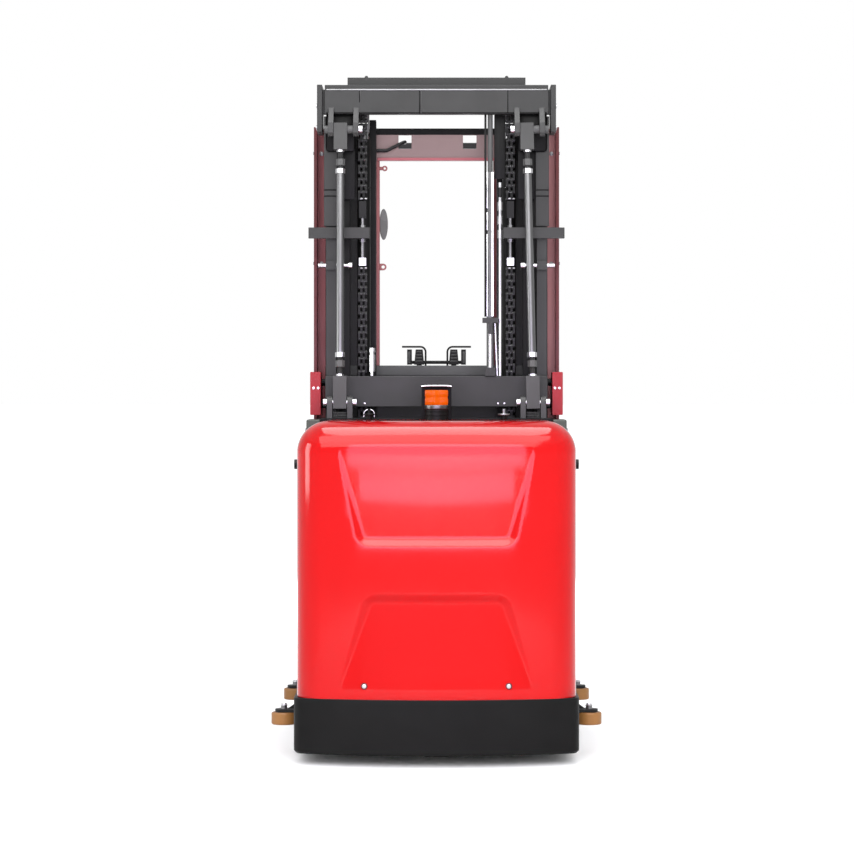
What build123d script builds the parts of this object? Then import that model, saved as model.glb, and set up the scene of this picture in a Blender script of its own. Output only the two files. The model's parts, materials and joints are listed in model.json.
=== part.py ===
from build123d import *
import os

os.makedirs("parts", exist_ok=True)

# High-level order picker: a hooded drive end, a two-stage mast and a lifting operator cab with forks.
# Millimetres. +X is to the right seen from behind, +Y runs forward to the fork tips, +Z is up.
# While the pieces are made, Y is counted forward from the rearmost point of the bumper.
# The finished pieces are shifted so that the origin lies under the middle of the overall box.

# Running clearances
touch_gap = 0.4
slide_gap = 0.5
pin_gap = 0.3
side_gap = 2
roller_gap = 6

# Bumper skirt and hood
bumper_width = 1032
bumper_bottom = 40
bumper_wall = 14
bumper_bow = 100
bumper_corner = 42
bumper_chamfer = 10
hood_inset = 9
hood_bottom = 241
hood_top = 1240
hood_front = 780
hood_setback = 12
hood_bow = 82
hood_corner = 126
hood_roll = 114
hood_side_wall = 12
hood_rear_wall = 46
knob_drop = 160
knob_y = 300
knob_radius = 18
knob_reach = 15
buffer_x = 257
buffer_setback = 42
buffer_stem_radius = 11
buffer_stem_height = 17
buffer_plate_radius = 23
buffer_plate_height = 6
buffer_screw_radius = 6
buffer_screw_height = 18

# Recesses of the hood seen from behind: one fades out upwards, the other downwards
upper_recess_floor_z = 788
upper_recess_fade_z = 1140
upper_recess_low_inset = 219
upper_recess_high_inset = 151
lower_recess_floor_z = 620
lower_recess_fade_z = 276
lower_recess_high_inset = 245
lower_recess_low_inset = 155
recess_depth = 30
recess_slant = 1.15
recess_corner = 46
recess_corner_slant = 0.85
recess_margin = 4

# Chassis
deck_thickness = 18
deck_rear = 150
side_beam_width = 40
frame_bottom = 60
mast_foot_thickness = 40
arm_plate = 14
arm_inset = 31
arm_width = 150
arm_top = 222
arm_top_thickness = 14
arm_setback = 100
arm_nose = 70
battery_side_gap = 25
battery_length = 430
battery_gap = 40
battery_height = 620

# Wheels
drive_axle_y = 340
drive_radius = 125
drive_width = 100
drive_hub_radius = 92
drive_stub_radius = 26
wheel_rim = 11
steer_hole_radius = 158
steer_ring_width = 40
steer_ring_height = 36
turntable_thickness = 24
gear_leg_gap = 10
gear_leg_thickness = 36
gear_leg_depth = 130
motor_radius = 92
motor_height = 300
load_axle_setback = 240
load_radius = 100
load_width = 90
load_hub_radius = 70
load_axle_radius = 20
roller_radius = 47
roller_height = 46
roller_edge = 6
roller_bottom = 106
roller_pin_radius = 12
roller_plate = 12
roller_plate_half = 33
roller_gusset_height = 28
rear_roller_y = 480
front_roller_reach = 120

# Support tower and side covers behind the mast
tower_gap = 10
tower_depth = 250
tower_wall = 20
tower_inset = 71
tower_rise = 5
tower_cap = 13
side_cover_thickness = 54
side_cover_drop = 5

# Mast
mast_depth = 130
mast_top = 2527
rail_inset = 84
outer_rail_width = 40
outer_web = 14
outer_flange = 16
inner_rail_width = 44
inner_rail_depth = 86
inner_web = 14
inner_flange = 14
inner_rail_rise = 13
inner_rail_bottom = 116
inner_rail_gap = 8
inner_roller_low = 190
inner_roller_drop = 87
mast_roller_width = 30
stage_lift = 1750
stiffener_width = 52
stiffener_overhang = 8
stiffener_thickness = 12
stiffener_gap = 6
top_beam_overhang = 4
top_beam_height = 97
top_beam_depth = 50
top_plate_thickness = 17
top_plate_inset = 12
side_plate_gap = 10
side_plate_thickness = 20
side_plate_drop = 70
side_plate_tie = 24
lower_beam_overhang = 2
lower_beam_gap = 43
lower_beam_height = 120
lower_beam_depth = 40
bracket_reach = 30
bracket_overhang = 68
bracket_share = 0.5264
bracket_height = 42
bracket_depth = 36
bracket_edge = 5
bracket_tab_half = 27
cross_bolt_share = 0.4227
cross_bolt_reach = 102
cross_bolt_overhang = 30
cross_bolt_radius = 8
cross_bolt_head_radius = 13
cross_bolt_head_length = 14
cross_block_depth = 30
cross_block_height = 34
inner_beam_inset = 35
inner_beam_rise = 6
inner_beam_height = 33
eye_inset = 74
eye_radius = 7
foot_cover_gap = 20
foot_cover_width = 41
foot_cover_rise = 11
foot_cover_height = 168
foot_cover_rear = 40
foot_cover_depth = 150
foot_cover_edge = 4
standoff_radius = 14
standoff_inset = 40

# Lift cylinders and chains
cylinder_inset = 98
cylinder_offset = 15
cylinder_radius = 26
cylinder_bore = 21.5
cylinder_drop = 377
cylinder_base = 60
lift_rod_radius = 20
lift_rod_overlap = 60
sheave_radius = 45
sheave_width = 40
sheave_drop = 75
yoke_plate = 5
yoke_half_depth = 26
yoke_head = 34
yoke_gap = 6
chain_offset = 4
chain_pitch = 25.4
chain_width = 36
chain_core_width = 22
chain_thickness = 19
chain_core_thickness = 13
chain_plate_height = 18
chain_low = 1180
chain_end_height = 30
chain_tie_radius = 8
anchor_width = 28
anchor_depth = 20
anchor_block = 31
anchor_block_drop = 74
anchor_clevis = 66
anchor_clevis_rise = 40
anchor_rod_radius = 6
anchor_nut_radius = 11
anchor_nut_height = 12

# Mast stays
low_ear_inset = 72
low_ear_space = 57
high_ear_inset = 74
high_ear_space = 76
stay_shift = -11
stay_radius = 14.5
stay_thread_radius = 9.5
stay_low_setback = 82
stay_low_rise = 59
stay_high_setback = 82
stay_high_drop = 64
stay_pin_radius = 12
stay_pin_head_radius = 16
stay_pin_head = 14
stay_block_width = 52
stay_block_depth = 40
stay_low_block = 103
stay_high_block = 80
stay_block_heel = 24
stay_thread_length = 92
ear_thickness = 21
ear_radius = 26
ear_root = 24

# Beacon
beacon_y = 690
beacon_base_radius = 45
beacon_base_height = 40
beacon_ring_height = 16
beacon_ring_radius = 46
beacon_lens_radius = 44
beacon_tier_height = 27
beacon_groove = 3
beacon_lens_edge = 8
guard_half = 57
guard_plate = 6
guard_rise = 132
guard_gap = 10
guard_reach = 64

# Pipes on the mast
guide_tube_spacing = 38
guide_tube_radius = 14.5
guide_rod_reach = 225
guide_rod_radius = 6
pipe_inset = 12
pipe_radius = 7
pipe_rise = 218
fitting_radius = 10
fitting_count = 4
hose_bar_half = 31
hose_bar_rise = 207
hose_bar_height = 20
hose_bar_depth = 20
hose_stem_half = 8
hose_stem_length = 43
hose_radius = 8
hose_foot_height = 32
hose_foot_half = 20
branch_top_offset = 18
branch_low_offset = 27
branch_radius = 4.5
port_inset = 8

# Cab
cab_inset = 28
cab_gap = 130
cab_length = 760
cab_top = 2400
floor_bottom = 235
floor_thickness = 30
mat_thickness = 10
mat_gap = 20
wall_thickness = 18
wall_top = 1452
wall_beam_height = 37
wall_beam_depth = 30
post_depth = 60
post_return = 44
post_plate = 12
header_height = 130
header_depth = 30
header_hole_drop = 27
header_hole_height = 55
header_holes = ((-152, -100), (106, 160))
header_lip = 12
header_lip_inset = 4
inner_post_reveal = 13
inner_post_width = 17
panel_thickness = 6
roof_thickness = 24
roof_border = 60
roof_bar_width = 26
roof_bar_places = (50, 215, 330)
front_post_width = 40
front_post_depth = 50
console_half = 300
console_depth = 160
console_top = 1440
console_slope = 120
lug_radius = 13.5
lug_thickness = 12
lug_z = 1846
lug_bore = 6.5
mirror_inset = 15
mirror_z = 2018
mirror_half_width = 17
mirror_half_height = 62
mirror_thickness = 20
header_hose_radius = 7
header_hose_rise = 36
header_hose_lead = 40
header_hose_setback = 18
header_hose_bend = 20

# Controls on the console
hoop_rise = 98
hoop_outer = 146
hoop_leg = 46
hoop_radius = 4
hoop_bend = 22
grip_inner = 52
grip_outer = 94
grip_taper = 6
grip_low_rise = 22
grip_height = 64
grip_setback = 60
paddle_inner = 104
paddle_outer = 124
control_depth = 60
control_rod_rise = 32
control_rod_radius = 7
control_stem_radius = 11

# Carriage and forks
carriage_plate = 14
carriage_side_gap = 6
carriage_bottom = 210
carriage_top = 750
carriage_tie = 20
carriage_roller_low = 262
carriage_roller_drop = 92
carriage_roller_width = 30
upright_gap = 54
upright_width = 26
upright_depth = 96
upright_rise = 25
fork_carriage_inset = 58
fork_carriage_bottom = 100
fork_carriage_top = 640
fork_bar_height = 84
fork_bar_depth = 24
fork_plate = 14
fork_length = 1150
fork_inner = 190
fork_width = 100
fork_bottom = 45
fork_thickness = 40
fork_hook = 16
fork_tip_thickness = 14
fork_tip_corner = 30
fork_taper_length = 420

# Side gates
gate_pivot_z = 1150
gate_pivot_setback = 15
gate_bar_radius = 13
gate_gap = 8
gate_front_setback = 75
gate_drop = 350
gate_post_reach = 92
gate_bend = 60
gate_boss_radius = 24
gate_boss_half = 12
gate_pin_radius = 10
gate_pin_spare = 4

# Places worked out from the sizes above
bumper_half = bumper_width / 2
hood_half = bumper_half - hood_inset
upper_recess_low_half = hood_half - upper_recess_low_inset
upper_recess_high_half = hood_half - upper_recess_high_inset
lower_recess_high_half = hood_half - lower_recess_high_inset
lower_recess_low_half = hood_half - lower_recess_low_inset
frame_half = bumper_half - bumper_wall
arm_outer = bumper_half - arm_inset
arm_inner = arm_outer - arm_width
tower_half = bumper_half - tower_inset
battery_half_width = tower_half - tower_wall - battery_side_gap
outer_rail_outer = bumper_half - rail_inset
cab_half = bumper_half - cab_inset
post_inner = cab_half - post_return
foot_top = frame_bottom + mast_foot_thickness
tower_rear = hood_front + tower_gap
tower_top = hood_top + tower_rise
mast_rear = tower_rear + tower_depth
mast_front = mast_rear + mast_depth
mast_mid = mast_rear + mast_depth / 2
cab_rear = mast_front + cab_gap
cab_front = cab_rear + cab_length
front_face = cab_rear + header_depth
floor_top = floor_bottom + floor_thickness
fork_face = cab_front + fork_plate + fork_bar_depth
fork_tip = fork_face + fork_thickness + fork_length
overall_length = fork_tip
load_axle_y = cab_front - load_axle_setback
arm_front = cab_front - arm_setback
front_roller_y = cab_rear + front_roller_reach
roller_x = bumper_half + roller_gap + roller_radius
inner_rail_side = outer_rail_outer - outer_rail_width - inner_rail_gap
inner_rail_top = mast_top + inner_rail_rise
inner_rail_rear = mast_mid - inner_rail_depth / 2
inner_rail_front = mast_mid + inner_rail_depth / 2
inner_roller_places = (inner_roller_low, mast_top - stage_lift - inner_roller_drop)
carriage_roller_places = (carriage_roller_low, inner_rail_top - stage_lift - carriage_roller_drop)
inner_beam_bottom = inner_rail_top + inner_beam_rise
inner_beam_half = inner_rail_side - inner_beam_inset
eye_x = inner_beam_half - eye_inset
carriage_plate_outer = inner_rail_side - inner_rail_width - carriage_side_gap
foot_cover_inner = outer_rail_outer + foot_cover_gap
foot_cover_outer = foot_cover_inner + foot_cover_width
top_beam_half = outer_rail_outer + top_beam_overhang
top_beam_bottom = mast_top - top_beam_height
top_beam_rear = mast_rear - top_beam_depth
lower_beam_half = outer_rail_outer + lower_beam_overhang
lower_beam_bottom = tower_top + lower_beam_gap
lower_beam_top = lower_beam_bottom + lower_beam_height
stiffener_outer = outer_rail_outer + stiffener_overhang
stiffener_inner = stiffener_outer - stiffener_width
beam_space = top_beam_bottom - lower_beam_top
bracket_bottom = lower_beam_top + beam_space * bracket_share
bracket_top = bracket_bottom + bracket_height
cross_bolt_z = lower_beam_top + beam_space * cross_bolt_share
cross_bolt_inner = outer_rail_outer - cross_bolt_reach
cross_bolt_outer = outer_rail_outer + cross_bolt_overhang
pipe_y = mast_rear - lower_beam_depth / 2
tube_rear = pipe_y - guide_tube_radius - touch_gap
guide_tube_top = top_beam_bottom - guide_rod_reach
fitting_bottom = bracket_bottom
pipe_top = fitting_bottom + pipe_rise
hose_bar_low = lower_beam_top + hose_bar_rise
cylinder_x = inner_rail_side - cylinder_inset
chain_x = cylinder_x + chain_offset
bracket_inner = chain_x - bracket_reach
pipe_x = bracket_inner - pipe_inset
guide_tube_x = pipe_x - guide_tube_spacing
branch_top_x = guide_tube_x + branch_top_offset
branch_low_x = guide_tube_x + branch_low_offset
port_x = port_inset - bracket_inner
bracket_outer = outer_rail_outer + bracket_overhang
cylinder_y = mast_mid + cylinder_offset
cylinder_top = mast_top - cylinder_drop
lift_rod_bottom = cylinder_top - stage_lift - lift_rod_overlap
sheave_z = mast_top - sheave_drop
yoke_top = sheave_z - sheave_radius - yoke_gap
yoke_bottom = yoke_top - yoke_head
chain_y = cylinder_y - sheave_radius - chain_thickness / 2 - touch_gap
clevis_bottom = bracket_top + anchor_clevis_rise
clevis_top = clevis_bottom + anchor_clevis
anchor_block_top = bracket_bottom - anchor_block_drop
anchor_block_bottom = anchor_block_top - anchor_block
low_ear_x = tower_half - low_ear_inset
high_ear_x = top_beam_half - high_ear_inset
stay_low_y = tower_rear + stay_low_setback
stay_low_z = tower_top + stay_low_rise
stay_high_y = mast_rear - stay_high_setback
stay_high_z = top_beam_bottom - stay_high_drop
header_bottom = cab_top - header_height
upright_outer = carriage_plate_outer - carriage_plate - upright_gap
upright_inner = upright_outer - upright_width
header_lip_half = upright_inner - header_lip_inset
inner_post_inner = upright_inner - inner_post_reveal
mirror_x = mirror_inset - inner_post_inner
console_rear = cab_front - console_depth
fork_carriage_half = cab_half - fork_carriage_inset
controls_y = console_rear + grip_setback
gate_plane = cab_half + gate_gap + gate_bar_radius
gate_pivot_y = cab_rear - gate_pivot_setback


def block(x0, x1, y0, y1, z0, z1):
    """A box between two corners."""
    middle = Pos((x0 + x1) / 2, (y0 + y1) / 2, (z0 + z1) / 2)
    return middle * Box(x1 - x0, y1 - y0, z1 - z0)


def rod_x(x0, x1, y, z, radius):
    """A round bar along X."""
    return Pos((x0 + x1) / 2, y, z) * Rot(0, 90, 0) * Cylinder(radius, x1 - x0)


def rod_y(x, y0, y1, z, radius):
    """A round bar along Y."""
    return Pos(x, (y0 + y1) / 2, z) * Rot(90, 0, 0) * Cylinder(radius, y1 - y0)


def rod_z(x, y, z0, z1, radius):
    """A round bar along Z."""
    return Pos(x, y, (z0 + z1) / 2) * Cylinder(radius, z1 - z0)


def pair(shape):
    """A piece of the right side and its mirror image on the left."""
    return [shape, mirror(shape, about=Plane.YZ)]


def side_profile(points, x0, x1):
    """An outline of (y, z) points made thick from x0 to x1."""
    face = make_face(Polyline(*[(x0, y, z) for y, z in points], close=True))
    return extrude(face, amount=x1 - x0, dir=(1, 0, 0))


def tube_along(path, radius):
    """A round bar that follows a path."""
    return sweep(Plane(origin=path @ 0, z_dir=path % 0) * Circle(radius), path=path)


def save(name, *pieces):
    """Writes one node, shifted so that the origin is under the middle of the machine."""
    solids = []
    for piece in pieces:
        members = piece if isinstance(piece, (list, tuple)) else [piece]
        for member in members:
            solids.extend(member.solids())
    node = Pos(0, -overall_length / 2, 0) * Compound(children=solids)
    export_step(node, f"parts/{name}.step")


def bowed_plan(half_width, rear, bow, front, height):
    """A plan outline with a straight front, straight sides and a bowed rear."""
    corner = rear + bow
    outline = [
        ThreePointArc((half_width, corner, height), (0, rear, height), (-half_width, corner, height)),
        Line((-half_width, corner, height), (-half_width, front, height)),
        Line((-half_width, front, height), (half_width, front, height)),
        Line((half_width, front, height), (half_width, corner, height)),
    ]
    return make_face(outline)


def hood_sag(x):
    """How far the bowed rear of the hood lies forward at a distance x from its middle."""
    radius = (hood_half ** 2 + hood_bow ** 2) / (2 * hood_bow)
    return radius - (radius * radius - x * x) ** 0.5


def recess_outline(y, floor_z, fade_z, floor_half, fade_half):
    """A recess's slanted rim where a plane at depth y cuts it: a straight edge on the bowed hood."""
    toward = 1 if fade_z > floor_z else -1
    floor_depth = y - hood_setback - hood_sag(floor_half)
    fade_depth = y - hood_setback - hood_sag(fade_half)
    near = floor_half - floor_depth * recess_slant
    far = fade_half - fade_depth * recess_slant
    edge_z = floor_z + toward * floor_depth * recess_slant
    middle_z = edge_z + toward * hood_sag(floor_half) * recess_slant
    outline = [
        ThreePointArc((-near, y, edge_z), (0, y, middle_z), (near, y, edge_z)),
        Line((near, y, edge_z), (far, y, fade_z)),
        Line((far, y, fade_z), (-far, y, fade_z)),
        Line((-far, y, fade_z), (-near, y, edge_z)),
    ]
    face = make_face(outline)
    corners = face.vertices().sort_by(lambda corner: abs(corner.Z - edge_z))[:2]
    return fillet(corners, recess_corner - floor_depth * recess_corner_slant)


def recess_cutter(floor_z, fade_z, floor_half, fade_half):
    """The space cut from the hood for one recess: deep at floor_z, run out at fade_z."""
    outside = hood_setback - recess_margin
    inside = hood_setback + hood_sag(floor_half) + recess_depth + recess_margin
    sections = [recess_outline(y, floor_z, fade_z, floor_half, fade_half) for y in (outside, inside)]
    rim = loft(sections, ruled=True)
    lean = recess_depth / (fade_z - floor_z)
    low_z = min(floor_z, fade_z) - abs(fade_z - floor_z)
    height = 3 * abs(fade_z - floor_z)
    rear = hood_setback + recess_depth + lean * (floor_z - low_z)
    floor_plan = bowed_plan(2 * hood_half, rear, hood_sag(2 * hood_half), hood_front, low_z)
    floor = extrude(floor_plan, amount=height * (1 + lean * lean) ** 0.5, dir=(0, -lean, 1))
    return rim - floor


def make_hood():
    """The moulded hood: bowed rear, rolled top edge, two recesses and an open inside."""
    plan = bowed_plan(hood_half, hood_setback, hood_bow, hood_front, hood_bottom)
    shell = extrude(plan, amount=hood_top - hood_bottom, dir=(0, 0, 1))
    rear_uprights = shell.edges().filter_by(Axis.Z).sort_by(Axis.Y)[:2]
    shell = fillet(rear_uprights, hood_corner)
    top_edges = shell.faces().sort_by(Axis.Z)[-1].edges()
    rolled = top_edges.filter_by(lambda edge: edge.center().Y < hood_front - 1)
    shell = fillet(rolled, hood_roll)
    shell -= recess_cutter(
        upper_recess_floor_z, upper_recess_fade_z, upper_recess_low_half, upper_recess_high_half,
    )
    shell -= recess_cutter(
        lower_recess_floor_z, lower_recess_fade_z, lower_recess_high_half, lower_recess_low_half,
    )
    inner_half = hood_half - hood_side_wall
    inner_rear = hood_setback + hood_rear_wall
    inner_plan = bowed_plan(inner_half, inner_rear, hood_bow, hood_front + 1, hood_bottom - 1)
    cavity = extrude(inner_plan, amount=hood_top - hood_side_wall - hood_bottom, dir=(0, 0, 1))
    inner_uprights = cavity.edges().filter_by(Axis.Z).sort_by(Axis.Y)[:2]
    cavity = fillet(inner_uprights, hood_corner - hood_side_wall)
    cavity_top = cavity.faces().sort_by(Axis.Z)[-1].edges()
    cavity_rolled = cavity_top.filter_by(lambda edge: edge.center().Y < hood_front)
    cavity = fillet(cavity_rolled, hood_roll - hood_side_wall)
    return shell - cavity


def make_hood_buffer():
    """Rubber buffer with a plate and a screw on top of the hood."""
    y = hood_front - buffer_setback
    low = hood_top
    buffer = None
    steps = (
        (buffer_stem_radius, buffer_stem_height),
        (buffer_plate_radius, buffer_plate_height),
        (buffer_screw_radius, buffer_screw_height),
    )
    for radius, height in steps:
        step = rod_z(buffer_x, y, low, low + height, radius)
        buffer = step if buffer is None else buffer + step
        low += height
    return buffer


def make_bumper():
    """The skirt under the hood, open below and in front."""
    plan = bowed_plan(bumper_half, 0, bumper_bow, hood_front, bumper_bottom)
    skirt = extrude(plan, amount=hood_bottom - bumper_bottom, dir=(0, 0, 1))
    uprights = skirt.edges().filter_by(Axis.Z).sort_by(Axis.Y)[:2]
    skirt = fillet(uprights, bumper_corner)
    bottom_edges = skirt.faces().sort_by(Axis.Z)[0].edges()
    skirt = chamfer(bottom_edges.filter_by(lambda edge: edge.center().Y < hood_front - 1), bumper_chamfer)
    inner_plan = bowed_plan(frame_half, bumper_wall, bumper_bow, hood_front + 1, bumper_bottom - 1)
    inside = extrude(inner_plan, amount=hood_bottom - bumper_bottom + 2, dir=(0, 0, 1))
    inner_uprights = inside.edges().filter_by(Axis.Z).sort_by(Axis.Y)[:2]
    inside = fillet(inner_uprights, bumper_corner - bumper_wall)
    return skirt - inside


def make_chassis():
    """Deck with the steering hole, side beams and the foot that the mast stands on."""
    deck = block(-frame_half, frame_half, deck_rear, mast_rear, hood_bottom - deck_thickness, hood_bottom)
    deck -= rod_z(0, drive_axle_y, hood_bottom - deck_thickness - 1, hood_bottom + 1, steer_hole_radius)
    ring_top = hood_bottom + steer_ring_height
    ring = rod_z(0, drive_axle_y, hood_bottom, ring_top, steer_hole_radius + steer_ring_width)
    ring -= rod_z(0, drive_axle_y, hood_bottom - 1, ring_top + 1, steer_hole_radius)
    frame = deck + ring
    beam_inner = frame_half - side_beam_width
    for beam in pair(block(beam_inner, frame_half, deck_rear, mast_rear, frame_bottom, hood_bottom)):
        frame += beam
    foot_half = arm_outer - arm_plate
    foot_rear = mast_rear - side_beam_width
    return frame + block(-foot_half, foot_half, foot_rear, mast_front + touch_gap, frame_bottom, foot_top)


def make_arm():
    """One straddle arm: two plates and a top that hold a load wheel."""
    side = [
        (mast_rear, frame_bottom),
        (arm_front - arm_nose, frame_bottom),
        (arm_front, frame_bottom + arm_nose),
        (arm_front, arm_top),
        (mast_rear, arm_top),
    ]
    lid_rear = mast_front + touch_gap
    inner_side = [(max(y, lid_rear), z) for y, z in side]
    arm = side_profile(side, arm_outer - arm_plate, arm_outer)
    arm += side_profile(inner_side, arm_inner, arm_inner + arm_plate)
    arm += block(arm_inner, arm_outer, lid_rear, arm_front, arm_top - arm_top_thickness, arm_top)
    return arm - rod_x(arm_inner - 1, arm_outer + 1, load_axle_y, load_radius, load_axle_radius + pin_gap)


def make_wheel(x, y, radius, hub_radius, width, bore):
    """A tyre and its hub, turning about X."""
    tyre = rod_x(x - width / 2, x + width / 2, y, radius, radius)
    tyre = chamfer(tyre.edges().filter_by(GeomType.CIRCLE), wheel_rim)
    tyre -= rod_x(x - width, x + width, y, radius, hub_radius + touch_gap)
    hub = rod_x(x - width / 2, x + width / 2, y, radius, hub_radius)
    for side in (-1, 1):
        dish_x = x + side * width / 2
        dish = rod_x(dish_x - wheel_rim, dish_x + wheel_rim, y, radius, hub_radius - wheel_rim)
        boss = rod_x(dish_x - wheel_rim, dish_x + wheel_rim, y, radius, bore + wheel_rim)
        hub -= dish - boss
    hub -= rod_x(x - width, x + width, y, radius, bore)
    return tyre, hub


def make_steer_unit():
    """Turntable, gearbox leg with the wheel's stub axle, and the upright drive motor."""
    seat = hood_bottom + steer_ring_height + touch_gap
    table = rod_z(0, drive_axle_y, seat, seat + turntable_thickness, steer_hole_radius + steer_ring_width)
    leg_inner = drive_width / 2 + gear_leg_gap
    leg_outer = leg_inner + gear_leg_thickness
    leg_rear = drive_axle_y - gear_leg_depth / 2
    leg_front = drive_axle_y + gear_leg_depth / 2
    leg = block(leg_inner, leg_outer, leg_rear, leg_front, drive_radius, seat)
    leg += rod_x(leg_inner, leg_outer, drive_axle_y, drive_radius, gear_leg_depth / 2)
    stub = rod_x(-drive_width / 2, leg_inner, drive_axle_y, drive_radius, drive_stub_radius)
    motor_low = seat + turntable_thickness
    motor = rod_z(0, drive_axle_y, motor_low, motor_low + motor_height, motor_radius)
    return table + leg + stub + motor


def make_roller_bracket(y, root):
    """Bracket plate, gusset and axle pin of one guide roller on the right side."""
    plate_low = roller_bottom + roller_height + touch_gap
    plate_top = plate_low + roller_plate
    plate = block(root, roller_x, y - roller_plate_half, y + roller_plate_half, plate_low, plate_top)
    plate += rod_z(roller_x, y, plate_low, plate_top, roller_plate_half)
    pin = rod_z(roller_x, y, roller_bottom, plate_top + roller_plate, roller_pin_radius)
    gusset_face = make_face(Polyline(
        (root, y, plate_top),
        (roller_x - roller_pin_radius - side_gap, y, plate_top),
        (root, y, plate_top + roller_gusset_height),
        close=True,
    ))
    return plate + pin + extrude(gusset_face, amount=roller_plate / 2, both=True)


def make_roller(y):
    """One guide roller of the right side, crowned at both edges."""
    top = roller_bottom + roller_height
    roller = rod_z(roller_x, y, roller_bottom, top, roller_radius)
    roller = fillet(roller.edges().filter_by(GeomType.CIRCLE), roller_edge)
    return roller - rod_z(roller_x, y, roller_bottom - 1, top + 1, roller_pin_radius + pin_gap)


def make_ears(ear_maker, middle, space):
    """The two clevis ears beside a stay's end on the right, and the two on the left."""
    ears = []
    offset = (space + ear_thickness) / 2
    for x in (middle - offset, middle + offset):
        ears.extend(pair(ear_maker(x)))
    return ears


def ear_hole(x, y, z):
    """The hole that a stay's pin has in an ear."""
    return rod_x(x - ear_thickness, x + ear_thickness, y, z, stay_pin_radius + pin_gap)


def make_low_ear(x):
    """One lower clevis ear: a rounded plate that stands on the tower."""
    half = ear_thickness / 2
    ear = rod_x(x - half, x + half, stay_low_y, stay_low_z, ear_radius)
    ear_rear = stay_low_y - ear_radius
    ear_front = stay_low_y + ear_radius
    ear += block(x - half, x + half, ear_rear, ear_front, tower_top, stay_low_z)
    return ear - ear_hole(x, stay_low_y, stay_low_z)


def make_high_ear(x):
    """One upper clevis ear: an angular plate that reaches back and down from the top beam."""
    half = ear_thickness / 2
    ear = side_profile(
        [
            (top_beam_rear, top_beam_bottom + ear_root),
            (stay_high_y - ear_radius, stay_high_z + ear_radius),
            (stay_high_y - ear_radius, stay_high_z - ear_radius / 2),
            (stay_high_y - ear_radius / 2, stay_high_z - ear_radius),
            (stay_high_y + ear_radius, stay_high_z - ear_radius),
            (top_beam_rear + ear_root, top_beam_bottom),
            (top_beam_rear, top_beam_bottom),
        ],
        x - half, x + half,
    )
    return ear - ear_hole(x, stay_high_y, stay_high_z)


def make_tower():
    """The steel box behind the mast that carries the mast stays."""
    wall_inner = tower_half - tower_wall
    tower = block(-tower_half, tower_half, tower_rear, mast_rear, tower_top - tower_cap, tower_top)
    for wall in pair(block(wall_inner, tower_half, tower_rear, mast_rear, hood_bottom, tower_top)):
        tower += wall
    tower += block(-tower_half, tower_half, mast_rear - tower_wall, mast_rear, hood_bottom, tower_top)
    for ear in make_ears(make_low_ear, low_ear_x, low_ear_space):
        tower += ear
    return tower


def make_outer_rail():
    """One outer mast rail: a channel open towards the middle, stiffened at the top of its rear flange."""
    inner = outer_rail_outer - outer_rail_width
    rail = block(inner, outer_rail_outer, mast_rear, mast_front, foot_top, mast_top)
    rail -= block(
        inner - 1, outer_rail_outer - outer_web,
        mast_rear + outer_flange, mast_front - outer_flange,
        foot_top - 1, mast_top + 1,
    )
    return rail + block(
        stiffener_inner, stiffener_outer,
        mast_rear - stiffener_thickness, mast_rear,
        bracket_top + stiffener_gap, top_beam_bottom - stiffener_gap,
    )


def make_top_beam():
    """Crossbeam at the top of the outer mast with its cap plate, side plates and clevis ears."""
    beam = block(-top_beam_half, top_beam_half, top_beam_rear, mast_rear, top_beam_bottom, mast_top)
    plate_top = mast_top + top_plate_thickness
    plate_rear = top_beam_rear + top_plate_inset
    beam += block(-top_beam_half, top_beam_half, plate_rear, mast_rear, mast_top, plate_top)
    plate_inner = top_beam_half + side_plate_gap
    plate_outer = plate_inner + side_plate_thickness
    plate_bottom = top_beam_bottom - side_plate_drop
    for plate in pair(block(plate_inner, plate_outer, top_beam_rear, mast_front, plate_bottom, plate_top)):
        beam += plate
    tie_rear = mast_rear - side_plate_tie
    for tie in pair(block(top_beam_half, plate_inner, tie_rear, mast_rear, top_beam_bottom, mast_top)):
        beam += tie
    for ear in make_ears(make_high_ear, high_ear_x, high_ear_space):
        beam += ear
    return beam


def make_mid_bracket():
    """One bar across the rear of an outer rail, with a drilled tab that anchors a chain."""
    rear = mast_rear - bracket_depth
    bar = block(bracket_inner, bracket_outer, rear, mast_rear, bracket_bottom, bracket_top)
    bar = fillet(bar.edges().filter_by(Axis.Z), bracket_edge)
    bar += block(
        chain_x - bracket_tab_half, chain_x + bracket_tab_half,
        mast_rear - bracket_depth / 2, chain_y + anchor_depth,
        bracket_bottom, bracket_top,
    )
    return bar - rod_z(chain_x, chain_y, bracket_bottom - 1, bracket_top + 1, anchor_rod_radius + pin_gap)


def make_cross_bolt():
    """Cross bolt with its block on the rear of an outer rail."""
    inner = outer_rail_outer - outer_rail_width
    half = cross_block_height / 2
    y = mast_rear - cross_block_depth / 2
    nut_block = block(
        inner, outer_rail_outer,
        mast_rear - cross_block_depth, mast_rear,
        cross_bolt_z - half, cross_bolt_z + half,
    )
    bolt = rod_x(cross_bolt_inner, cross_bolt_outer, y, cross_bolt_z, cross_bolt_radius)
    head_end = cross_bolt_inner + cross_bolt_head_length
    return nut_block + bolt + rod_x(cross_bolt_inner, head_end, y, cross_bolt_z, cross_bolt_head_radius)


def make_hose_bracket():
    """T-shaped bracket on the guide tube that holds the top of the short hose."""
    rear = tube_rear - hose_bar_depth
    left = guide_tube_x - hose_bar_half
    right = guide_tube_x + hose_bar_half
    bar = block(left, right, rear, tube_rear, hose_bar_low, hose_bar_low + hose_bar_height)
    stem_left = guide_tube_x - hose_stem_half
    stem_right = guide_tube_x + hose_stem_half
    stem_low = hose_bar_low - hose_stem_length
    return bar + block(stem_left, stem_right, rear, tube_rear, stem_low, hose_bar_low)


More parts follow.
